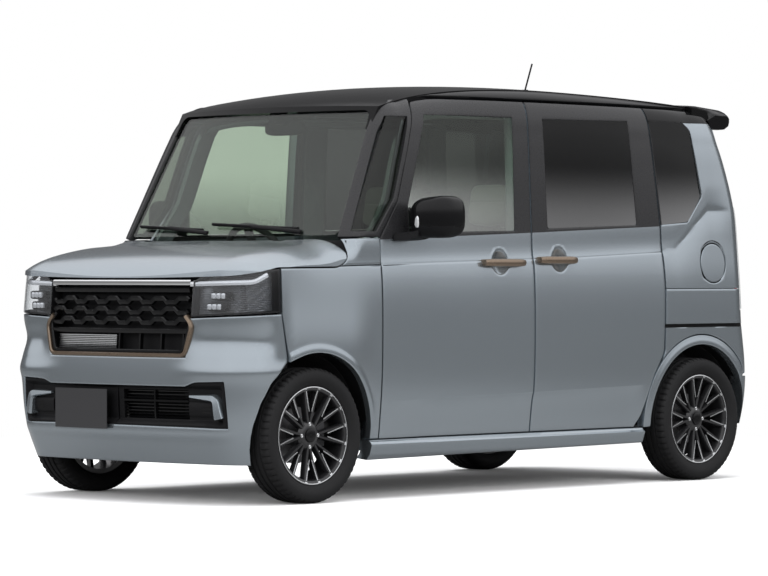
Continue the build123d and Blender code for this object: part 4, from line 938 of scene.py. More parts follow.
# %% [markdown]
# ## Front bumper
# The bumper skin is one moulding from wheel arch to wheel arch. Its lattice bends round the grille and the lower
# opening, so both are simply cells left out. A scoop under each lamp turns outwards again above the lower opening
# and makes the bright shelf seen in the photograph.

# %% Bumper skin
def nose(x, z, depth=0.0, screen=False):
    """Point on the nose or the windscreen at a given x and z, moved inwards by depth; mirrored for negative x."""
    x, z = np.broadcast_arrays(np.asarray(x, float), np.asarray(z, float))
    point = form_at(walk_to_nose(np.abs(x), z, screen), z, np.broadcast_to(depth, x.shape), screen)
    return point * np.stack([np.where(x < 0, -1.0, 1.0), np.ones(x.shape), np.ones(x.shape)], -1)


def nose_line(points):
    """Column line on the nose: pairs of height and half-width become heights and walks."""
    return [(z, float(walk_to_nose(x, z))) for z, x in points]


bumper_cols = [
    [
        (165, -1541), (230, -1558), (281, -1563), (332, -1560), (420, -1536), (500, -1490), (560, -1432),
        (588, -1399), (608, -1399), (780, -1433),
    ],
    nose_line([
        (165, 622), (318, 622), (400, 624), (508, 618), (540, 560), (606, 412), (612, 412), (735, 452), (770, 430),
    ]),
    nose_line([(z, 0) for z in np.linspace(165, 770, 12)]),
]
bumper_rows = [
    165,
    [(-2310, 322), (-1860, 320), (-1400, 314)],
    [(-2310, 486), (-1890, 486), (-1840, 504), (-1683, 509), (-1400, 509)],
    606,
    [(-2310, 766), (-1880, 766), (-1430, 784)],
]
m, z, strip = lattice(bumper_cols, bumper_rows, [30, 30], [14, 16, 14, 18])


def bumper_depth(m, z):
    """Scoop under the lamps, an outward shelf above the lower opening and a rounded chin."""
    x = form(m, z)[..., 0]
    outer = ease(x, 380, 520) * ease(-m, 1440, 1520)
    scoop = 20 * np.exp(-(((z - 675) / 62) ** 2)) * outer
    shelf = -8 * np.exp(-(((z - 545) / 34) ** 2)) * ease(x, 300, 560)
    lip = -6 * np.exp(-(((z - 290) / 24) ** 2)) * ease(-m, 1600, 1680)
    return scoop + shelf + lip


def whole_nose(half):
    """A half grid that ends on the middle line, joined to its mirror image."""
    half = half.copy()
    half[:, -1, 0] = 0
    return np.concatenate([half, (half * [-1, 1, 1])[:, ::-1][:, 1:]], 1)[:, ::-1]


keep = ~in_strips(strip, [(1, 1), (3, 1)])
both = np.concatenate([keep, keep[:, ::-1]], 1)
inward = bumper_depth(m, z)
front = whole_nose(form_at(m, z, inward + rim_drop(both)[:, : m.shape[1]]))
back = whole_nose(form_at(m, z, inward + 20))
sheet("bumper_skin", front, back, [PAINT], "body", ["front_bumper"], keep=both[:, ::-1])
print("bumper", front.shape)

# %% [markdown]
# ## Swept trim
# Bars, strips and arms are a small section carried along a path, as an extrusion is bent round a former. The
# section is given across the path and outwards from it, and the ends are closed.

# %% Closed tubes
def outward(points, quads):
    """Turn the faces over if the closed mesh's signed volume is negative."""
    a, b, c, d = (points[quads[:, k]] for k in range(4))
    volume = (np.cross(b - a, c - a) * a).sum() + (np.cross(c - a, d - a) * a).sum()
    return quads if volume > 0 else quads[:, ::-1]


def loop_cap(start, count):
    """Close an even loop of points by quads straight across it."""
    j = np.arange(count // 2 - 1)
    return start + np.stack([j, j + 1, count - 2 - j, count - 1 - j], -1)


def closed_tube(grid):
    """Points and faces of a tube: each row of the grid is a loop, and the first and last loops are closed."""
    n, k = grid.shape[:2]
    points = grid.reshape(-1, 3)
    caps = [loop_cap(0, k), loop_cap((n - 1) * k, k)[:, ::-1]]
    return points, outward(points, np.concatenate([grid_quads(n, k, False, True)] + caps))


print("an eight-sided loop is closed by", len(loop_cap(0, 8)), "faces")

# %% Sweeps
def sweep(path, across, out, section, scale=None):
    """Carry a section of (across, out) pairs along a path; point = path + across and out parts of the section."""
    section = np.asarray(section, float)
    size = np.ones(len(path)) if scale is None else np.asarray(scale, float)
    part = section[None, :, :] * size[:, None, None]
    grid = path[:, None, :] + part[..., :1] * across[:, None, :] + part[..., 1:] * out[:, None, :]
    return closed_tube(grid)


def unit(vectors):
    """Vectors scaled to length one."""
    return vectors / np.maximum(np.linalg.norm(vectors, axis=-1, keepdims=True), 1e-9)


def surface_sweep(point, x, z, section, depth=0.0, scale=None):
    """Sweep along a line on the surface that point(x, z, depth) gives.

    Out is the surface's normal, found from the same line 5 mm further out, and across lies in the surface.
    """
    path = point(x, z, depth)
    out = unit(point(x, z, depth - 5.0) - path)
    across = unit(np.cross(out, unit(np.gradient(path, axis=0))))
    return sweep(path, across, out, section, scale)


def nose_sweep(x, z, section, depth=0.0, scale=None):
    """Sweep along a line on the front of the car; a single number stands for a level or upright line."""
    x, z = np.broadcast_arrays(np.asarray(x, float), np.asarray(z, float))
    return surface_sweep(nose, x, z, section, depth, scale)


def rounded(points, radius, step=4.0):
    """Polyline with each inner corner rounded by a parabola, then walked in even steps."""
    points = np.asarray(points, float)
    ends = []
    for beside in (np.roll(points, 1, 0), np.roll(points, -1, 0)):
        way = beside - points
        ends.append(points + way * np.minimum(0.48, radius / np.linalg.norm(way, axis=1))[:, None])
        ends[-1][[0, -1]] = points[[0, -1]]
    start, end = (line[:, None] for line in ends)
    t = np.linspace(0, 1, 9)[None, :, None]
    dense = (1 - t) ** 2 * start + 2 * t * (1 - t) * points[:, None] + t * t * end
    dense = dense.reshape(-1, points.shape[1])
    run = np.concatenate([[0], np.cumsum(np.linalg.norm(np.diff(dense, axis=0), axis=1))])
    even = np.linspace(0, run[-1], max(int(run[-1] / step), 4) + 1)
    return np.stack([np.interp(even, run, dense[:, k]) for k in range(points.shape[1])], -1)


print("a rounded right angle has", len(rounded([(0, 0), (100, 0), (100, 100)], 30)), "steps")

# %% [markdown]
# ## Grille
# Behind a chrome strip sit four wavy bars. Neighbouring waves are opposed, so the gaps between them are hexagons.
# Under them half the opening has fine shutter slats and half is open with uprights. A bronze U frames the whole.

# %% Grille
GRILLE_BAR = np.array([(-11, -8), (-10, 5), (-2, 11), (5, 13), (10, 8), (11, -8)])
bar_x = np.linspace(-414, 414, 210)
wave = np.clip(2.2 * np.sin(2 * np.pi * bar_x / 138.0), -1, 1) * 8
bars = []
for k, bar_z in enumerate((884, 841, 798, 755, 714)):
    reach = np.interp(bar_z, [700, 740, 775, 900], [424, 432, 412, 416])
    bars.append(nose_sweep(bar_x * reach / 414, bar_z + wave * (-1) ** k * (k not in (0, 4)), GRILLE_BAR, 16))
make_piece("grille_bars", *join_grids(bars), PIANO, "body", ["grille"])

back_x, back_z = np.meshgrid(np.linspace(-450, 450, 40), np.linspace(604, 948, 20))
sheet("grille_back", nose(back_x, back_z, 62.0), nose(back_x, back_z, 70.0), [TRIM], "body")
STRIP = np.array([(-11, -10), (-11, 3), (-4, 7), (5, 7), (11, 2), (11, -10)])
make_piece("grille_strip", *nose_sweep(np.linspace(-424, 424, 90), 914.0, STRIP, 4), CHROME, "body")
print("grille bars:", len(bars))

# %% Shutter, uprights and frames
SLAT = np.array([(-2.2, -12), (-2.2, 4), (2.2, 6), (2.2, -10)])
slats = [nose_sweep(np.linspace(-384, -8, 50), height, SLAT, 26) for height in np.linspace(634, 694, 9)]
make_piece("shutter_slats", *join_grids(slats), MACHINED, "body")
UPRIGHT = np.array([(-4, -14), (-4, 4), (4, 4), (4, -14)])
FLOOR_BAR = np.array([(-8, -20), (-8, 8), (8, 8), (8, -20)])
posts = [nose_sweep(place, np.linspace(618, 704, 12), UPRIGHT, 28) for place in (6.0, 130, 255, 380)]
posts.append(nose_sweep(np.linspace(-392, 392, 80), 622.0, FLOOR_BAR, 14))
make_piece("grille_posts", *join_grids(posts), PIANO, "body")

U_PATH = [(409, 776), (446, 738), (411, 613), (-411, 613), (-446, 738), (-409, 776)]
U_TRIM = np.array([(-9, -16), (-9, 5), (-5, 10), (5, 8), (9, 2), (9, -16)])
make_piece("bronze_frame", *nose_sweep(*rounded(U_PATH, 26).T, U_TRIM, 2), BRONZE, "body")
inner_path = [(x * 0.965, 613 + (z - 613) * 0.97 + 16) for x, z in U_PATH]
U_INNER = np.array([(-8, -30), (-8, 0), (-4, 4), (4, 4), (8, 0), (8, -30)])
make_piece("grille_inner_frame", *nose_sweep(*rounded(inner_path, 22).T, U_INNER, 6), PIANO, "body")
print("slats and uprights:", len(slats), len(posts))

# %% [markdown]
# ## Lower opening and plate
# A black insert fills the lower opening. Its outer ends carry an L in body colour over a small vent, the middle is
# slatted, and a bare plate stands on the car's right of the middle, as in the photograph.

# %% Lower insert
insert_cols = [nose_line([(318, 619), (400, 620), (505, 615)])]
insert_cols += [nose_line([(318, x), (505, x)]) for x in (408, 30, 0)]
insert_rows = [
    [(-2310, 324), (-1860, 322), (-1400, 316)],
    346,
    470,
    [(-2310, 484), (-1890, 484), (-1840, 502), (-1683, 506), (-1400, 506)],
]
m, z, strip = lattice(insert_cols, insert_rows, [24, 20, 3], [3, 14, 3])


def insert_depth(m, z):
    """A rim level with the bumper that falls 26 mm to the insert's floor."""
    x = form(m, z)[..., 0]
    rim = np.minimum(np.minimum(z - 320, 500 - z), 616 - x)
    return 6 + 24 * ease(rim, 6, 26)


inward = insert_depth(m, z)
floor, wall = form_at(m, z, inward), form_at(m, z, inward + 14)
sheet("insert_left", floor, wall, [TRIM], "body", ["lower_grille"], 1, ~in_strips(strip, [(1, 1)]))
sheet("insert_right", floor, wall, [TRIM], "body", ["lower_grille"], -1)
INSERT_BAR = np.array([(-4, -10), (-4, 8), (4, 8), (4, -10)])
opening_x = np.linspace(26, 412, 50)
bars = [nose_sweep(opening_x, height, SLAT, 44) for height in np.linspace(352, 464, 9)]
bars.append(nose_sweep(opening_x, 424.0, INSERT_BAR, 34))
bars.append(nose_sweep(215.0, np.linspace(344, 472, 12), UPRIGHT, 36))
make_piece("insert_slats", *join_grids(bars), PIANO, "body")
dark_x, dark_z = np.meshgrid(np.linspace(10, 430, 20), np.linspace(330, 486, 8))
sheet("insert_back", nose(dark_x, dark_z, 76.0), nose(dark_x, dark_z, 82.0), [TRIM], "body")
print("insert", m.shape)

# %% Accents, vents and the bare plate
ACCENT = np.array([(-11, -22), (-11, 6), (-7, 11), (8, 9), (11, 4), (11, -22)])
VENT = np.array([(-34, -24), (-30, 2), (-20, 8), (20, 8), (30, 2), (34, -24)])
SLOT = np.array([(-3, -6), (-3, 1), (3, 1), (3, -6)])
accent_line = rounded([(428, 446), (570, 440), (586, 356)], 24)
accent_size = np.linspace(0.5, 2.1, len(accent_line))
make_pair("insert_accent_SIDE", nose_sweep(*accent_line.T, ACCENT, 16, accent_size), PAINT, "body")
make_pair("insert_vent_SIDE", nose_sweep(*rounded([(420, 392), (572, 392)], 10).T, VENT, 26), TRIM, "body")
slots = [nose_sweep(np.linspace(492, 540, 8), height, SLOT, 18) for height in (380, 393, 406)]
make_pair("insert_slots_SIDE", join_grids(slots), SEAL, "body")

PLATE = handled("bare_plate", (0.026, 0.026, 0.028), 0.0, 500.0, 0.40, 0.5)
plate_x, plate_z = np.meshgrid(np.linspace(-30, -370, 12), np.linspace(302, 468, 8))
plate_y = nose(-197.0, 430.0, -8.0)[1] - 0.045 * (plate_x + 197)
plate = np.stack([plate_x, plate_y, plate_z], -1)
sheet("bare_plate", plate, plate + [0, 3, 0], [PLATE], "body")
print("plate", plate.shape)

# %% [markdown]
# ## Headlamps
# Under a clear lens that follows the body's corner lie a ribbed dark housing, a bright bar along the top that goes
# on from the grille's strip, and two stacked lamp units.

# %% Lamp lenses, housings and bezels
def shifted(line, by):
    """A lattice line's table with its values moved."""
    return [(place, value + by) for place, value in line]


inner_end = nose_line([(770, 434), (960, 434)])
OUTER_END = -1437
lamp_low = [(-1880, 772), (-1437, 790)]
lamp_high = [(-1880, 922), (-1830, 924), (-1780, 950), (-1600, 964), (-1437, 969)]
lens_net = lattice([inner_end, OUTER_END], [lamp_low, lamp_high], [50], [20])
panel("lamp_lens", lens_net, 0.0, 4, [LENS], "body", ["headlamps"])
ribbed_rows = [shifted(lamp_low, 6), shifted(lamp_high, -6)]
ribbed_net = lattice([shifted(inner_end, 6), OUTER_END - 8], ribbed_rows, [40], [80])


def rib_depth(m, z):
    """Fine level ribs on the housing: a rounded wave of 2.5 mm every 9 mm of height, deeper in the middle."""
    return 58 + 2.5 * np.sin(2 * np.pi * z / 9.0) - 16 * ease(np.abs(m + 1650), 90, 190)


RIBBED = handled("ribbed_housing", (0.20, 0.205, 0.215), 0.7, 300.0, 0.24, 0.36)
panel("lamp_housing", ribbed_net, rib_depth, 6, [RIBBED], "body")
bezel_cols = [inner_end, shifted(inner_end, 9), OUTER_END - 10, OUTER_END]
bezel_rows = [lamp_low, shifted(lamp_low, 9), shifted(lamp_high, -9), lamp_high]
bezel_net = lattice(bezel_cols, bezel_rows, [1, 50, 1], [1, 16, 1])
panel("lamp_bezel", bezel_net, 5.0, 56, [TRIM], "body", holes=[(1, 1)])

# %% Light bars and lamp units
LIGHT_BAR = handled("light_bar", (0.82, 0.83, 0.85), 0.6, 200.0, 0.12, 0.24)


def lump(centre, half, power=4.0, rows=20, cols=32):
    """Rounded block: each direction of a sphere is stretched until the powers of its shares add to one."""
    lat = np.linspace(-1.48, 1.48, rows)[:, None]
    lon = np.linspace(0, 2 * np.pi, cols, endpoint=False)[None, :]
    d = np.stack([np.cos(lat) * np.cos(lon), np.cos(lat) * np.sin(lon), np.sin(lat) + 0 * lon], -1)
    d = d / (np.abs(d) ** power).sum(-1, keepdims=True) ** (1 / power)
    points = (np.asarray(centre) + d * np.asarray(half)).reshape(-1, 3)
    caps = [loop_cap(0, cols)[:, ::-1], loop_cap((rows - 1) * cols, cols)]
    return points, outward(points, np.concatenate([grid_quads(rows, cols, False, True)] + caps))


bar_line = rounded([(-1868, 908), (-1560, 916), (-1500, 946)], 20)
make_pair("lamp_bar_SIDE", surface_sweep(form_at, *bar_line.T, STRIP * [0.9, 0.8], 12.0), LIGHT_BAR, "body")
units, glints = [], []
for unit_x, unit_z in ((566, 862), (548, 817)):
    place = nose(unit_x, unit_z, 36.0)
    units.append(lump(place, (50, 18, 18), 6))
    glints += [lump(place + [dx, -15 + dx * 0.1, 0], (12, 8, 12), 5, 12, 16) for dx in (-26, 0, 26)]
make_pair("lamp_units_SIDE", join_grids(units), PIANO, "body")
make_pair("lamp_lights_SIDE", join_grids(glints), LIGHT_BAR, "body")
print("lights in each lamp:", len(glints))

# %% [markdown]
# ## Wheels and tyres
# A tyre is one section turned about the axle. Its tread is cut by three grooves round it and by short slots across
# the shoulders. The wheel has eight V spokes, so sixteen spoke ends meet the rim, and its rim edge and spoke tips
# are machined bright.

# %% Tyre
def lathe(profile, steps=144):
    """Turn a closed section of (x, radius) about the X axis: y = r sin t, z = r cos t."""
    profile = np.asarray(profile, float)
    t = np.linspace(0, 2 * np.pi, steps, endpoint=False)[:, None]
    x, r = profile[None, :, 0] + 0 * t, profile[None, :, 1]
    points = np.stack([x, r * np.sin(t), r * np.cos(t)], -1)
    flat = points.reshape(-1, 3)
    return flat, outward(flat, grid_quads(steps, len(profile), True, True))


GROOVES, GROOVE_DEPTH = (-30, 0, 30), 6.5
SLOTS, SLOT_DEPTH = 60, 5


def tyre():
    """Tyre section from bead to bead, then turned; grooves and shoulder slots lower the radius."""
    half = np.array(
        [(57, 203.5), (64, 206), (76, 222), (82, 240), (81, 256), (76, 268), (70, 275), (62, 279), (50, 280.4)]
    )
    run = np.concatenate([[0], np.cumsum(np.linalg.norm(np.diff(half, axis=0), axis=1))])
    fine = np.linspace(0, run[-1], 34)
    side_part = np.stack([along(fine, run, half[:, 0]), along(fine, run, half[:, 1])], -1)
    tread_x = np.linspace(49, -49, 57)
    tread = np.stack([tread_x, np.full(57, 281.0) - (tread_x / 49) ** 2 * 0.6], -1)
    outer = np.concatenate([side_part, tread, (side_part * [-1, 1])[::-1]])
    inner = np.array([(-50, 196), (50, 196.0)])
    profile = np.concatenate([outer, inner])
    steps = 300
    t = np.linspace(0, 2 * np.pi, steps, endpoint=False)[:, None]
    x = profile[None, :, 0] + 0 * t
    r = profile[None, :, 1] + 0 * t
    on_tread = r > 268
    groove = np.maximum.reduce([1 - ease(np.abs(x - g), 3.0, 5.0) for g in GROOVES])
    shoulder = ease(np.abs(x), 36, 40) * (1 - ease(np.abs(x), 72, 77))
    slot = ease(np.sin(SLOTS * t + np.sign(x) * 0.8), 0.55, 0.85) * shoulder
    r = r - on_tread * np.maximum(groove * GROOVE_DEPTH, slot * SLOT_DEPTH)
    points = np.stack([x, r * np.sin(t), r * np.cos(t)], -1).reshape(-1, 3)
    return points, outward(points, grid_quads(steps, len(profile), True, True))


rubber = tyre()
print("tyre faces:", len(rubber[1]))

# %% Wheel
def radial_bar(root_angle, tip_angle, r0, r1, face0, face1, section, steps=14):
    """Bar from a root to a tip near the rim; across is square to it in the wheel's plane, out along the axle."""
    t = np.linspace(0, 1, steps)
    a = np.radians([root_angle, tip_angle])
    start = np.array([0, r0 * np.sin(a[0]), r0 * np.cos(a[0])])
    end = np.array([0, r1 * np.sin(a[1]), r1 * np.cos(a[1])])
    path = start + (end - start) * t[:, None]
    path[:, 0] = face0 + (face1 - face0) * t**1.5
    line = unit(end - start)
    across = np.tile(np.cross([1.0, 0, 0], line), (steps, 1))
    return sweep(path, across, np.tile([1.0, 0, 0], (steps, 1)), section)


SPOKE = np.array([(-8.5, -26), (-7.5, -6), (-4, 0), (4, 0), (7.5, -6), (8.5, -26)])
TIP = np.array([(-2.4, -3), (-2.4, 0.8), (2.4, 0.8), (2.4, -3)])
JOINT = np.array([(-7, -4), (-7, 1), (7, 1), (7, -4)])
RIM = [
    (64, 203), (57, 203), (55, 196), (50, 190.5), (-50, 190.5), (-56, 203), (-64, 203), (-64, 183), (40, 182),
    (52, 184), (60, 188),
]
RING = [(63, 198), (66, 198.5), (66.8, 200.5), (66, 203), (63, 203.6)]
HUB = [(46, 20), (47, 40), (44, 50), (34, 60), (10, 62), (-38, 62), (-38, 30), (20, 20)]
CAP = [(40, 0.5), (53, 0.5), (54, 20), (52, 28), (46, 30), (40, 30)]
BRAKE = [(-45, 40), (-45, 116), (-43, 118), (-33, 118), (-31, 116), (-31, 40)]
SHIELD = [(-58, 44), (-58, 176), (-55, 177), (-55, 44)]
SPOKE_PAIRS, NUT_CIRCLE = 8, 47
spokes, tips = [], []
for pair in range(SPOKE_PAIRS):
    for lean in (-1, 1):
        middle = 360 / SPOKE_PAIRS * pair
        root, end = middle + lean * 4.5, middle + lean * 11.25
        spokes.append(radial_bar(root, end, 44, 186, 44, 57, SPOKE))
        tips.append(radial_bar(root - lean * 0.5, end - lean * 1.2, 100, 188, 49.4, 58, TIP, 12))
        tips.append(radial_bar(end, end, 187, 199, 58, 64, JOINT, 4))
nut = lathe([(36, 0.5), (48, 0.5), (49, 6), (47, 9), (36, 9)], 6)
nut_angles = np.radians([0, 90, 180, 270])
nuts = [moved(nut, NUT_CIRCLE * np.array([0, math.sin(a), math.cos(a)])) for a in nut_angles]
dark = join_grids([lathe(RIM), lathe(HUB, 64)] + spokes)
bright = join_grids([lathe(RING)] + tips)
print("wheel faces:", len(dark[1]), len(bright[1]))

# %% Four wheels
for end, axle_y in (("front", FRONT_AXLE), ("rear", REAR_AXLE)):
    hub = np.array([WHEEL_X, axle_y, AXLE_Z])
    rider = "road_wheel_" + end + "_SIDE"
    wheel_name, tyre_name = "wheel_" + end + "_SIDE", "tyre_" + end + "_SIDE"
    make_pair(wheel_name + "_spokes", moved(dark, hub), WHEEL_BLACK, rider, [wheel_name], 30)
    make_pair(wheel_name + "_machined", moved(bright, hub), MACHINED, rider, sharp=30)
    make_pair(wheel_name + "_cap", moved(lathe(CAP, 48), hub), PIANO, rider)
    make_pair(wheel_name + "_nuts", moved(join_grids(nuts), hub), CHROME, rider, sharp=30)
    make_pair(wheel_name + "_disc", moved(lathe(BRAKE, 96), hub), DISC, rider)
    make_pair(tyre_name + "_tread", moved(rubber, hub), RUBBER, rider, [tyre_name], 30)
rear_hub = np.array([WHEEL_X, REAR_AXLE, AXLE_Z])
make_pair("brake_shield_SIDE", moved(lathe(SHIELD, 96), rear_hub), TRIM, "body")
print("wheels at x", WHEEL_X)

# %% [markdown]
# ## Mirrors and handles
# The mirror case is a rounded block on a foot at the door's front corner, gloss on top and dull beneath, with a
# clear signal lens at its front. The handles are bronze bars with fingers' room behind them.

# %% Handles
HANDLE = np.array([(-15, -6), (-17, 1), (-14, 8), (-6, 12), (6, 12), (14, 8), (17, 1), (15, -6)])


def bar_handle(y0, y1, z):
    """Bar along the side, bowed outwards and thinner at its ends, with two feet that reach the door skin."""
    y = np.linspace(y0, y1, 40)
    t = np.linspace(-1, 1, 40)
    base = form(y, np.full(40, float(z)))
    path = base + np.stack([22 - 9 * t**4, 0 * t, 0 * t], -1)
    up = np.tile([0.0, 0, 1], (40, 1))
    out = np.tile([1.0, 0, 0], (40, 1))
    grip = sweep(path, up, out, HANDLE, 1 - 0.25 * np.abs(t) ** 6)
    feet = [lump(form(f, float(z)) + [2, 0, 0], (20, 20, 15), 5) for f in (y0 + 22, y1 - 22)]
    return join_grids([grip] + feet)


make_pair("front_handle_SIDE", bar_handle(-212, 47, 997), BRONZE, "door_SIDE", ["handle_SIDE"])
make_pair("slide_handle_SIDE", bar_handle(150, 392, 1009), BRONZE, "body", ["slide_handles"])
print("handles:", 4)

# %% Mirrors
MIRROR_X, MIRROR_Y, MIRROR_Z = 838, -612, 1188


def mirror_case():
    """Rounded block whose outer end is swept back and whose top falls towards the door."""
    points, quads = lump((MIRROR_X, MIRROR_Y, MIRROR_Z), (94, 76, 88), 3.4, 36, 56)
    points[:, 1] += 0.30 * (points[:, 0] - MIRROR_X)
    points[:, 2] += 0.10 * (points[:, 0] - MIRROR_X) * ease(points[:, 2], 1180, 1260)
    return points, quads


case = mirror_case()
dull = (case[0][case[1]].mean(1)[:, 2] < 1148).astype(np.int32)
for shell in make_pair("mirror_case_SIDE", case, PIANO, "door_SIDE", ["mirror_SIDE"]):
    shell.data.materials.append(TRIM)
    shell.data.polygons.foreach_set("material_index", dull)
FOOT = np.array([(-50, -14), (-46, 12), (-30, 20), (30, 20), (46, 12), (50, -14)])
foot_line = rounded([(722, -712, 1102), (775, -676, 1106), (800, -644, 1122)], 30, 6)
foot_across, foot_out = (np.tile(way, (len(foot_line), 1)) for way in ([0.0, 1, 0], [0.0, 0, 1]))
make_pair("mirror_foot_SIDE", sweep(foot_line, foot_across, foot_out, FOOT), TRIM, "door_SIDE")
make_pair("mirror_signal_SIDE", lump((790, -684, 1172), (22, 16, 36), 3), LIGHT_BAR, "door_SIDE")
mirror_pane = lump((MIRROR_X, MIRROR_Y + 74, MIRROR_Z), (72, 4, 66), 5)
make_pair("mirror_glass_SIDE", mirror_pane, CHROME, "door_SIDE")
print("mirror faces:", len(case[1]))

# %% [markdown]
# ## Spoiler
# The roof runs on into a spoiler on the tailgate. It is a moulding with a thin middle and deep ends, and it swings
# up with the gate. One closed section is carried across the car, lower where the roof is crowned.

# %% Spoiler
CROWN_X = np.array([0, 300, 572, 608, 637, 660.0])
CROWN_DROP = np.array([0, 6, 20, 31, 46, 66.0])


def spoiler():
    """Section of (y, z) at each x: the top follows the roof, the foot meets the gate, both ends are deeper."""
    x = np.linspace(-1, 1, 121)
    x = 646 * np.sign(x) * (1 - (1 - np.abs(x)) ** 1.6)
    deep = ease(np.abs(x), 430, 600)
    ends = ease(np.abs(x), 560, 646)
    front = 1368 + 112 * ease(np.abs(x), 570, 612)
    rear = 1640 - 26 * (x / 646) ** 2 - 22 * ends**2
    crown = np.interp(np.abs(x), CROWN_X, CROWN_DROP)
    low = 1652 - 32 * deep
    gate = TAIL - along(low, TAIL_Z, TAIL_BACK) - 25 * (x / 680) ** 2 - 30 * ends
    over = [(front, 0), (front + 8, 5), (front + 60, 9), (1560 + 0 * x, 12)]
    over += [(rear - 24, 13), (rear - 7, 10), (rear, 1)]
    under = [(rear - 1, 34), (rear - 7, 18), (rear - 36, 2), (rear - 50, 0)]
    under += [(gate + 6, 0), (gate - 8, 6), (gate - 40, 40)]
    section = [(y, along(y, ROOF_Y, ROOF_Z) - crown + lift) for y, lift in over]
    section += [(y, low + lift) for y, lift in under]
    return closed_tube(np.stack([np.stack([x, y, z], -1) for y, z in section], 1))


skin = make_piece("spoiler_skin", *spoiler(), BLACK_PAINT, "tailgate", ["spoiler"])
print("spoiler faces:", len(skin.data.polygons))

# %% [markdown]
# ## Tail lamps
# A tail lamp wraps round the rear corner beside the gate. Its lens is clear and stands a little proud. Behind it
# lie a pale reflector and two red light columns.

# %% Tail lamps
def tail_point(x, z, depth):
    """Point on the back of the car at half-width x and height z, moved inwards by depth."""
    return form_at(walk_to_tail(x, z), np.asarray(z, float), np.asarray(depth, float) + 0 * np.asarray(z, float))


def ripple(m, z):
    """The reflector lies 24 mm deep with level waves of 2 mm every 16 mm."""
    return 24 + 2 * np.sin(2 * np.pi * z / 16)


lamp_rear = tail_edge([(z, 602) for z in np.linspace(770, 1280, 12)])
tail_net = lattice([corner_column(1582), lamp_rear], [786, 1258], [26], [34])
panel("tail_lens", tail_net, -4.0, 5, [LENS], "body", ["tail_lamps"])
REFLECTOR = handled("pale_reflector", (0.62, 0.60, 0.60), 0.6, 250.0, 0.2, 0.34)
panel("tail_reflector", tail_net, ripple, 8, [REFLECTOR], "body")
RED = handled("red_light_column", (0.42, 0.012, 0.016), 0.0, 250.0, 0.14, 0.26)
COLUMN = np.array([(-9, -12), (-9, 6), (-5, 10), (5, 10), (9, 6), (9, -12)])
column_z = np.linspace(806, 1238, 60)
columns = [surface_sweep(tail_point, np.full(60, place), column_z, COLUMN, 14.0) for place in (626.0, 668.0)]
make_pair("tail_columns_SIDE", join_grids(columns), RED, "body")
print("tail lamps", tail_net[0].shape)

# %% [markdown]
# ## Wipers, cabin mirror and filler
# Two wipers rest at the foot of the screen and one under the rear glass. Each has an arm and a flat blade that
# follows the pane. Inside the screen hangs the mirror. Behind the fuel lid a cup holds the cap.

# %% Wipers
BLADE = np.array([(-7, -3), (-5, 5), (0, 8), (5, 5), (7, -3), (0, -5)])
ARM = np.array([(-9, -4), (-8, 4), (-3, 7), (3, 7), (8, 4), (9, -4)])


def screen_point(x, z, depth):
    """Point on the windscreen at x and height z, moved inwards by depth."""
    return nose(x, z, depth, True)


def pane_bar(point, ends, depth, section, steps=40):
    """Sweep a section along a straight line on a pane, from the first x and height to the last."""
    x0, z0, x1, z1 = ends
    return surface_sweep(point, np.linspace(x0, x1, steps), np.linspace(z0, z1, steps), section, depth)


ARM_ENDS = ((470, 1118, 190, 1142), (-60, 1116, -330, 1140))
BLADE_ENDS = ((440, 1136, -60, 1158), (-110, 1134, -560, 1152))
front_wipers = []
for arm, blade in zip(ARM_ENDS, BLADE_ENDS):
    front_wipers += [pane_bar(screen_point, arm, -18, ARM), pane_bar(screen_point, blade, -8, BLADE)]
make_piece("front_wipers", *join_grids(front_wipers), TRIM, "body")
rear_wiper = [
    pane_bar(tail_point, (10, 1168, 250, 1196), -20.0, ARM),
    pane_bar(tail_point, (60, 1190, 420, 1206), -8.0, BLADE),
    lump(tail_point(10.0, 1166.0, -8.0), (26, 24, 22), 3),
]
make_piece("rear_wiper", *join_grids(rear_wiper), TRIM, "tailgate")
print("wipers:", len(front_wipers) // 2, "in front and 1 behind")

# %% Cabin mirror, filler cup and brake callipers
cabin_mirror = [lump((0, -690, 1585), (118, 16, 34), 4), lump((0, -728, 1622), (34, 40, 26), 4)]
make_piece("cabin_mirror", *join_grids(cabin_mirror), TRIM, "body")

lid_place = np.array([0, LID_M, LID_Z])
CUP = [(719, 105), (636, 105), (632, 101), (632, 0.5), (636, 0.5), (637, 99), (700, 101), (719, 101)]
FILLER = [(640, 0.5), (640, 40), (658, 40), (662, 36), (662, 0.5)]
make_piece("filler_cup", *moved(lathe(CUP, 96), lid_place), TRIM, "body")
filler = [moved(lathe(FILLER, 64), lid_place), lump((668, LID_M, LID_Z), (9, 8, 30), 5)]
make_piece("filler_cap", *join_grids(filler), TRIM, "body")
cheek = lump((WHEEL_X - 20, FRONT_AXLE + 86, AXLE_Z + 34), (8, 28, 58), 4)
make_pair("calliper_SIDE", cheek, STEEL, "knuckle_SIDE")
print("filler at", lid_place)

# %% [markdown]
# ## Seats
# The seats are foam pads under stretched cloth. Each pad is a crowned block whose sides pull in between its
# corners, with two sewn channels along it and one across. The pads take the room of the plain seat solids.

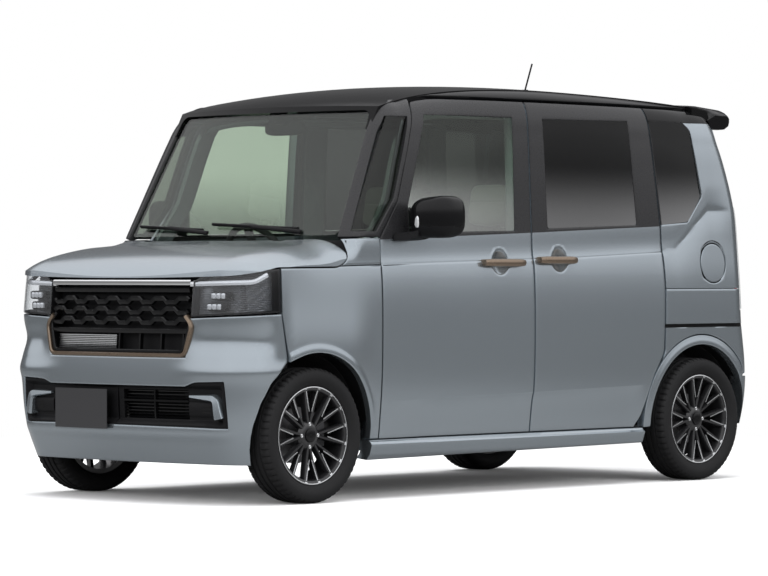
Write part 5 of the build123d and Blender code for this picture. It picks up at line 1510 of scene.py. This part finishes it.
# %% Seat pads
def pad(centre, half, lean, face, seams):
    """Crowned block: its sides pull in by a share of the squares of the other two places; seams are bell grooves.

    face is the axis that the sewn side looks along, with its sign, and lean turns the pad back about X in degrees.
    """
    points, quads = lump((0, 0, 0), (1, 1, 1), 5.0, 61, 96)
    pull = 0.05
    shape = points * (1 - pull * (1 - points[:, [2, 0, 1]] ** 2)) * np.asarray(half, float)
    axis, sign = face
    top = ease(sign * points[:, axis], 0.5, 0.95)
    groove = np.maximum.reduce([np.exp(-(((shape[:, k] - at) / 5.5) ** 2)) for k, at in seams])
    shape[:, axis] -= sign * 7 * groove * top
    turn = math.radians(lean)
    y = shape[:, 1] * math.cos(turn) + shape[:, 2] * math.sin(turn)
    z = shape[:, 2] * math.cos(turn) - shape[:, 1] * math.sin(turn)
    return np.stack([shape[:, 0], y, z], -1) + np.asarray(centre), quads


def seat(tag, x, half, shift, solid):
    """Cushion, back and head pads of one seat, with a plain foot under them; the foot takes the solid's place."""
    along_seams = [(0, -0.5 * half), (0, 0.5 * half)]
    pads = {
        "cushion": pad((x, shift - 118, 533), (half - 4, 232, 58), -3, (2, 1), along_seams + [(1, 40)]),
        "back": pad((x, shift + 216, 842), (half - 8, 50, 292), 11.5, (1, -1), along_seams + [(2, 60)]),
        "head": pad((x, shift + 285, 1255), (115, 40, 95), 10, (1, -1), [(2, 10)]),
    }
    for name, (points, quads) in pads.items():
        make_piece("seat_" + name + "_" + tag, points, quads, CLOTH, "body")
    foot = lump((x, shift - 50, 396), (164, 190, 76), 8)
    posts = [lump((x + dx, shift + 276, 1150), (7, 9, 40), 3, 12, 16) for dx in (-52, 52)]
    make_piece("seat_foot_" + tag, *join_grids([foot] + posts), CABIN, "body", [solid])


for side, tag in SIDES:
    seat("front_" + tag, 330 * side, 245, 0, "front_seats")
    seat("rear_" + tag, 232 * side, 226, 790, "rear_seat")
print("seats:", 2 * len(SIDES))

# %% [markdown]
# ## Wheel arch linings
# Inside a real wing a moulded lining bridges the room between the outer skin's arch and the wheelhouse, so that
# no daylight shows through an open gate or hood. It is one strip bent round each wheel, and its outer edge follows
# the body's form just behind the lip.

# %% Arch linings
def arch_lining(axle_y, last):
    """Strip round the axle, from 8 degrees to the last angle, 5 mm thick, ending 16 mm inside the form."""
    t = np.radians(np.linspace(8, last, 60))[:, None]
    radius = ARCH_RADIUS + np.array([[1, 1, 6, 6]])
    y = axle_y + radius * np.cos(t)
    z = AXLE_Z + radius * np.sin(t)
    inner = np.array([[True, False, False, True]])
    x = np.where(inner, 590.0, form(y, z)[..., 0] - 16)
    return closed_tube(np.stack([x, y, z], -1))


make_pair("arch_lining_front_SIDE", arch_lining(FRONT_AXLE, 120), TRIM, "body")
make_pair("arch_lining_rear_SIDE", arch_lining(REAR_AXLE, 172), TRIM, "body")
print("arch linings:", 4)

# %% [markdown]
# ## Surroundings
# The photograph is a studio shot: white all round, with soft light from above. The camera sees a plain white
# world. The car is lit by a grey one, bright above and dark at the horizon, and darker still behind the car, so
# that the paint shades from top to bottom.

# %% Studio world
scene = bpy.context.scene
scene.view_settings.view_transform = "Standard"
world = bpy.data.worlds.new("studio")
scene.world = world
world.use_nodes = True
tree = world.node_tree
sky = node(tree, "TexCoord").outputs["Generated"]
height = node(tree, "SeparateXYZ", {"Vector": sky})
away = node(tree, "VectorMath", {0: sky, 1: (-0.69, 0.72, 0)}, operation="DOT_PRODUCT")
dusk = node(tree, "MapRange", {"Value": away.outputs["Value"], "From Min": 0.3, "From Max": 0.8, "To Max": 0.42})
lowered = node(tree, "Math", {0: height.outputs["Z"], 1: dusk.outputs["Result"]}, operation="SUBTRACT")
rise = node(tree, "ValToRGB", {"Fac": lowered.outputs["Value"]})
for spot, (place, grey) in enumerate(((0.0, 0.12), (0.03, 0.15), (0.14, 0.85), (0.5, 1.0))):
    stop = rise.color_ramp.elements[spot] if spot < 2 else rise.color_ramp.elements.new(place)
    stop.position = place
    stop.color = (grey, grey, grey * 1.02, 1)
lit = tree.nodes["Background"]
feed(tree, rise.outputs["Color"], lit.inputs["Color"])
feed(tree, 1.1, lit.inputs["Strength"])
white = node(tree, "Background", {"Color": (1, 1, 1, 1)})
to_camera = node(tree, "LightPath").outputs["Is Camera Ray"]
mixed = node(tree, "MixShader", {"Fac": to_camera, 1: lit.outputs[0], 2: white.outputs[0]})
feed(tree, mixed.outputs["Shader"], tree.nodes["World Output"].inputs["Surface"])
print("world nodes:", len(tree.nodes))

# %% [markdown]
# ## Floor
# A pale floor catches the soft shadow under the car and fades into the white further out. It throws little light
# back up, as the grey studio floor under such a car does.

# %% Studio floor
REACH = 30.0
corners = [(-REACH, -REACH, 0), (REACH, -REACH, 0), (REACH, REACH, 0), (-REACH, REACH, 0)]
floor_mesh = bpy.data.meshes.new("studio_floor")
floor_mesh.from_pydata(corners, [], [(0, 1, 2, 3)])
floor = bpy.data.objects.new("studio_floor", floor_mesh)
scene.collection.objects.link(floor)
pale = finish("pale_floor", (0.80, 0.80, 0.80), 0.9, Emission_Color=(1, 1, 1, 1), Emission_Strength=0.04)
tree = pale.node_tree
distance = node(tree, "VectorMath", {0: node(tree, "TexCoord").outputs["Object"]}, operation="LENGTH")
fade = node(tree, "MapRange", {"Value": distance.outputs["Value"], "From Min": 2.4, "From Max": 5.5})
to_camera = node(tree, "LightPath").outputs["Is Camera Ray"]
shine = node(tree, "MapRange", {"Value": to_camera, "To Min": 0.22})
far_floor = node(tree, "Emission", {"Strength": shine.outputs["Result"]})
dim_floor = node(tree, "BsdfDiffuse", {"Color": (0.22, 0.22, 0.22, 1)})
seen_floor = tree.nodes["Principled BSDF"]
near_floor = node(tree, "MixShader", {"Fac": to_camera, 1: dim_floor.outputs[0], 2: seen_floor.outputs[0]})
mixed = node(tree, "MixShader", {"Fac": fade.outputs["Result"], 1: near_floor.outputs[0], 2: far_floor.outputs[0]})
feed(tree, mixed.outputs["Shader"], tree.nodes["Material Output"].inputs["Surface"])
floor_mesh.materials.append(pale)
print("floor is", 2 * REACH, "m wide")

# %% [markdown]
# ## Lamps and camera
# Three large soft boxes light the car from above, from its left and from the front. Their own shapes don't show in
# the gloss. The camera stands where the photograph was taken, far away with a long lens.

# %% Lamps
def soft_box(name, place, aim, width, height, watts):
    """An area lamp of a given size at a place, facing a point."""
    lamp = bpy.data.lights.new(name, "AREA")
    lamp.shape = "RECTANGLE"
    lamp.size, lamp.size_y, lamp.energy = width, height, watts
    holder = bpy.data.objects.new(name, lamp)
    holder.location = place
    holder.visible_glossy = False
    holder.rotation_euler = (Vector(aim) - Vector(place)).to_track_quat("-Z", "Y").to_euler()
    scene.collection.objects.link(holder)


soft_box("overhead", (0, 0, 5.5), (0, 0, 0), 7, 5, 520)
soft_box("left_side", (6.5, -0.5, 2.6), (0, 0, 0.9), 5, 2.2, 260)
soft_box("front", (1.0, -7.0, 2.4), (0, -1.0, 0.8), 5, 2.2, 200)
print("lamps:", len(bpy.data.lights))

# %% Camera
camera = bpy.data.cameras.new("photo_camera")
camera.sensor_width = 36.0
camera.lens = 179.19
camera.clip_end = 200.0
viewer = bpy.data.objects.new("photo_camera", camera)
viewer.location = (11.839, -12.4255, 0.953)
azimuth, height = math.radians(43.767), math.radians(0.227)
back = Vector((math.sin(azimuth) * math.cos(height), -math.cos(azimuth) * math.cos(height), math.sin(height)))
viewer.rotation_euler = (-back).to_track_quat("-Z", "Y").to_euler()
scene.collection.objects.link(viewer)
scene.camera = viewer
print("camera at", viewer.location)
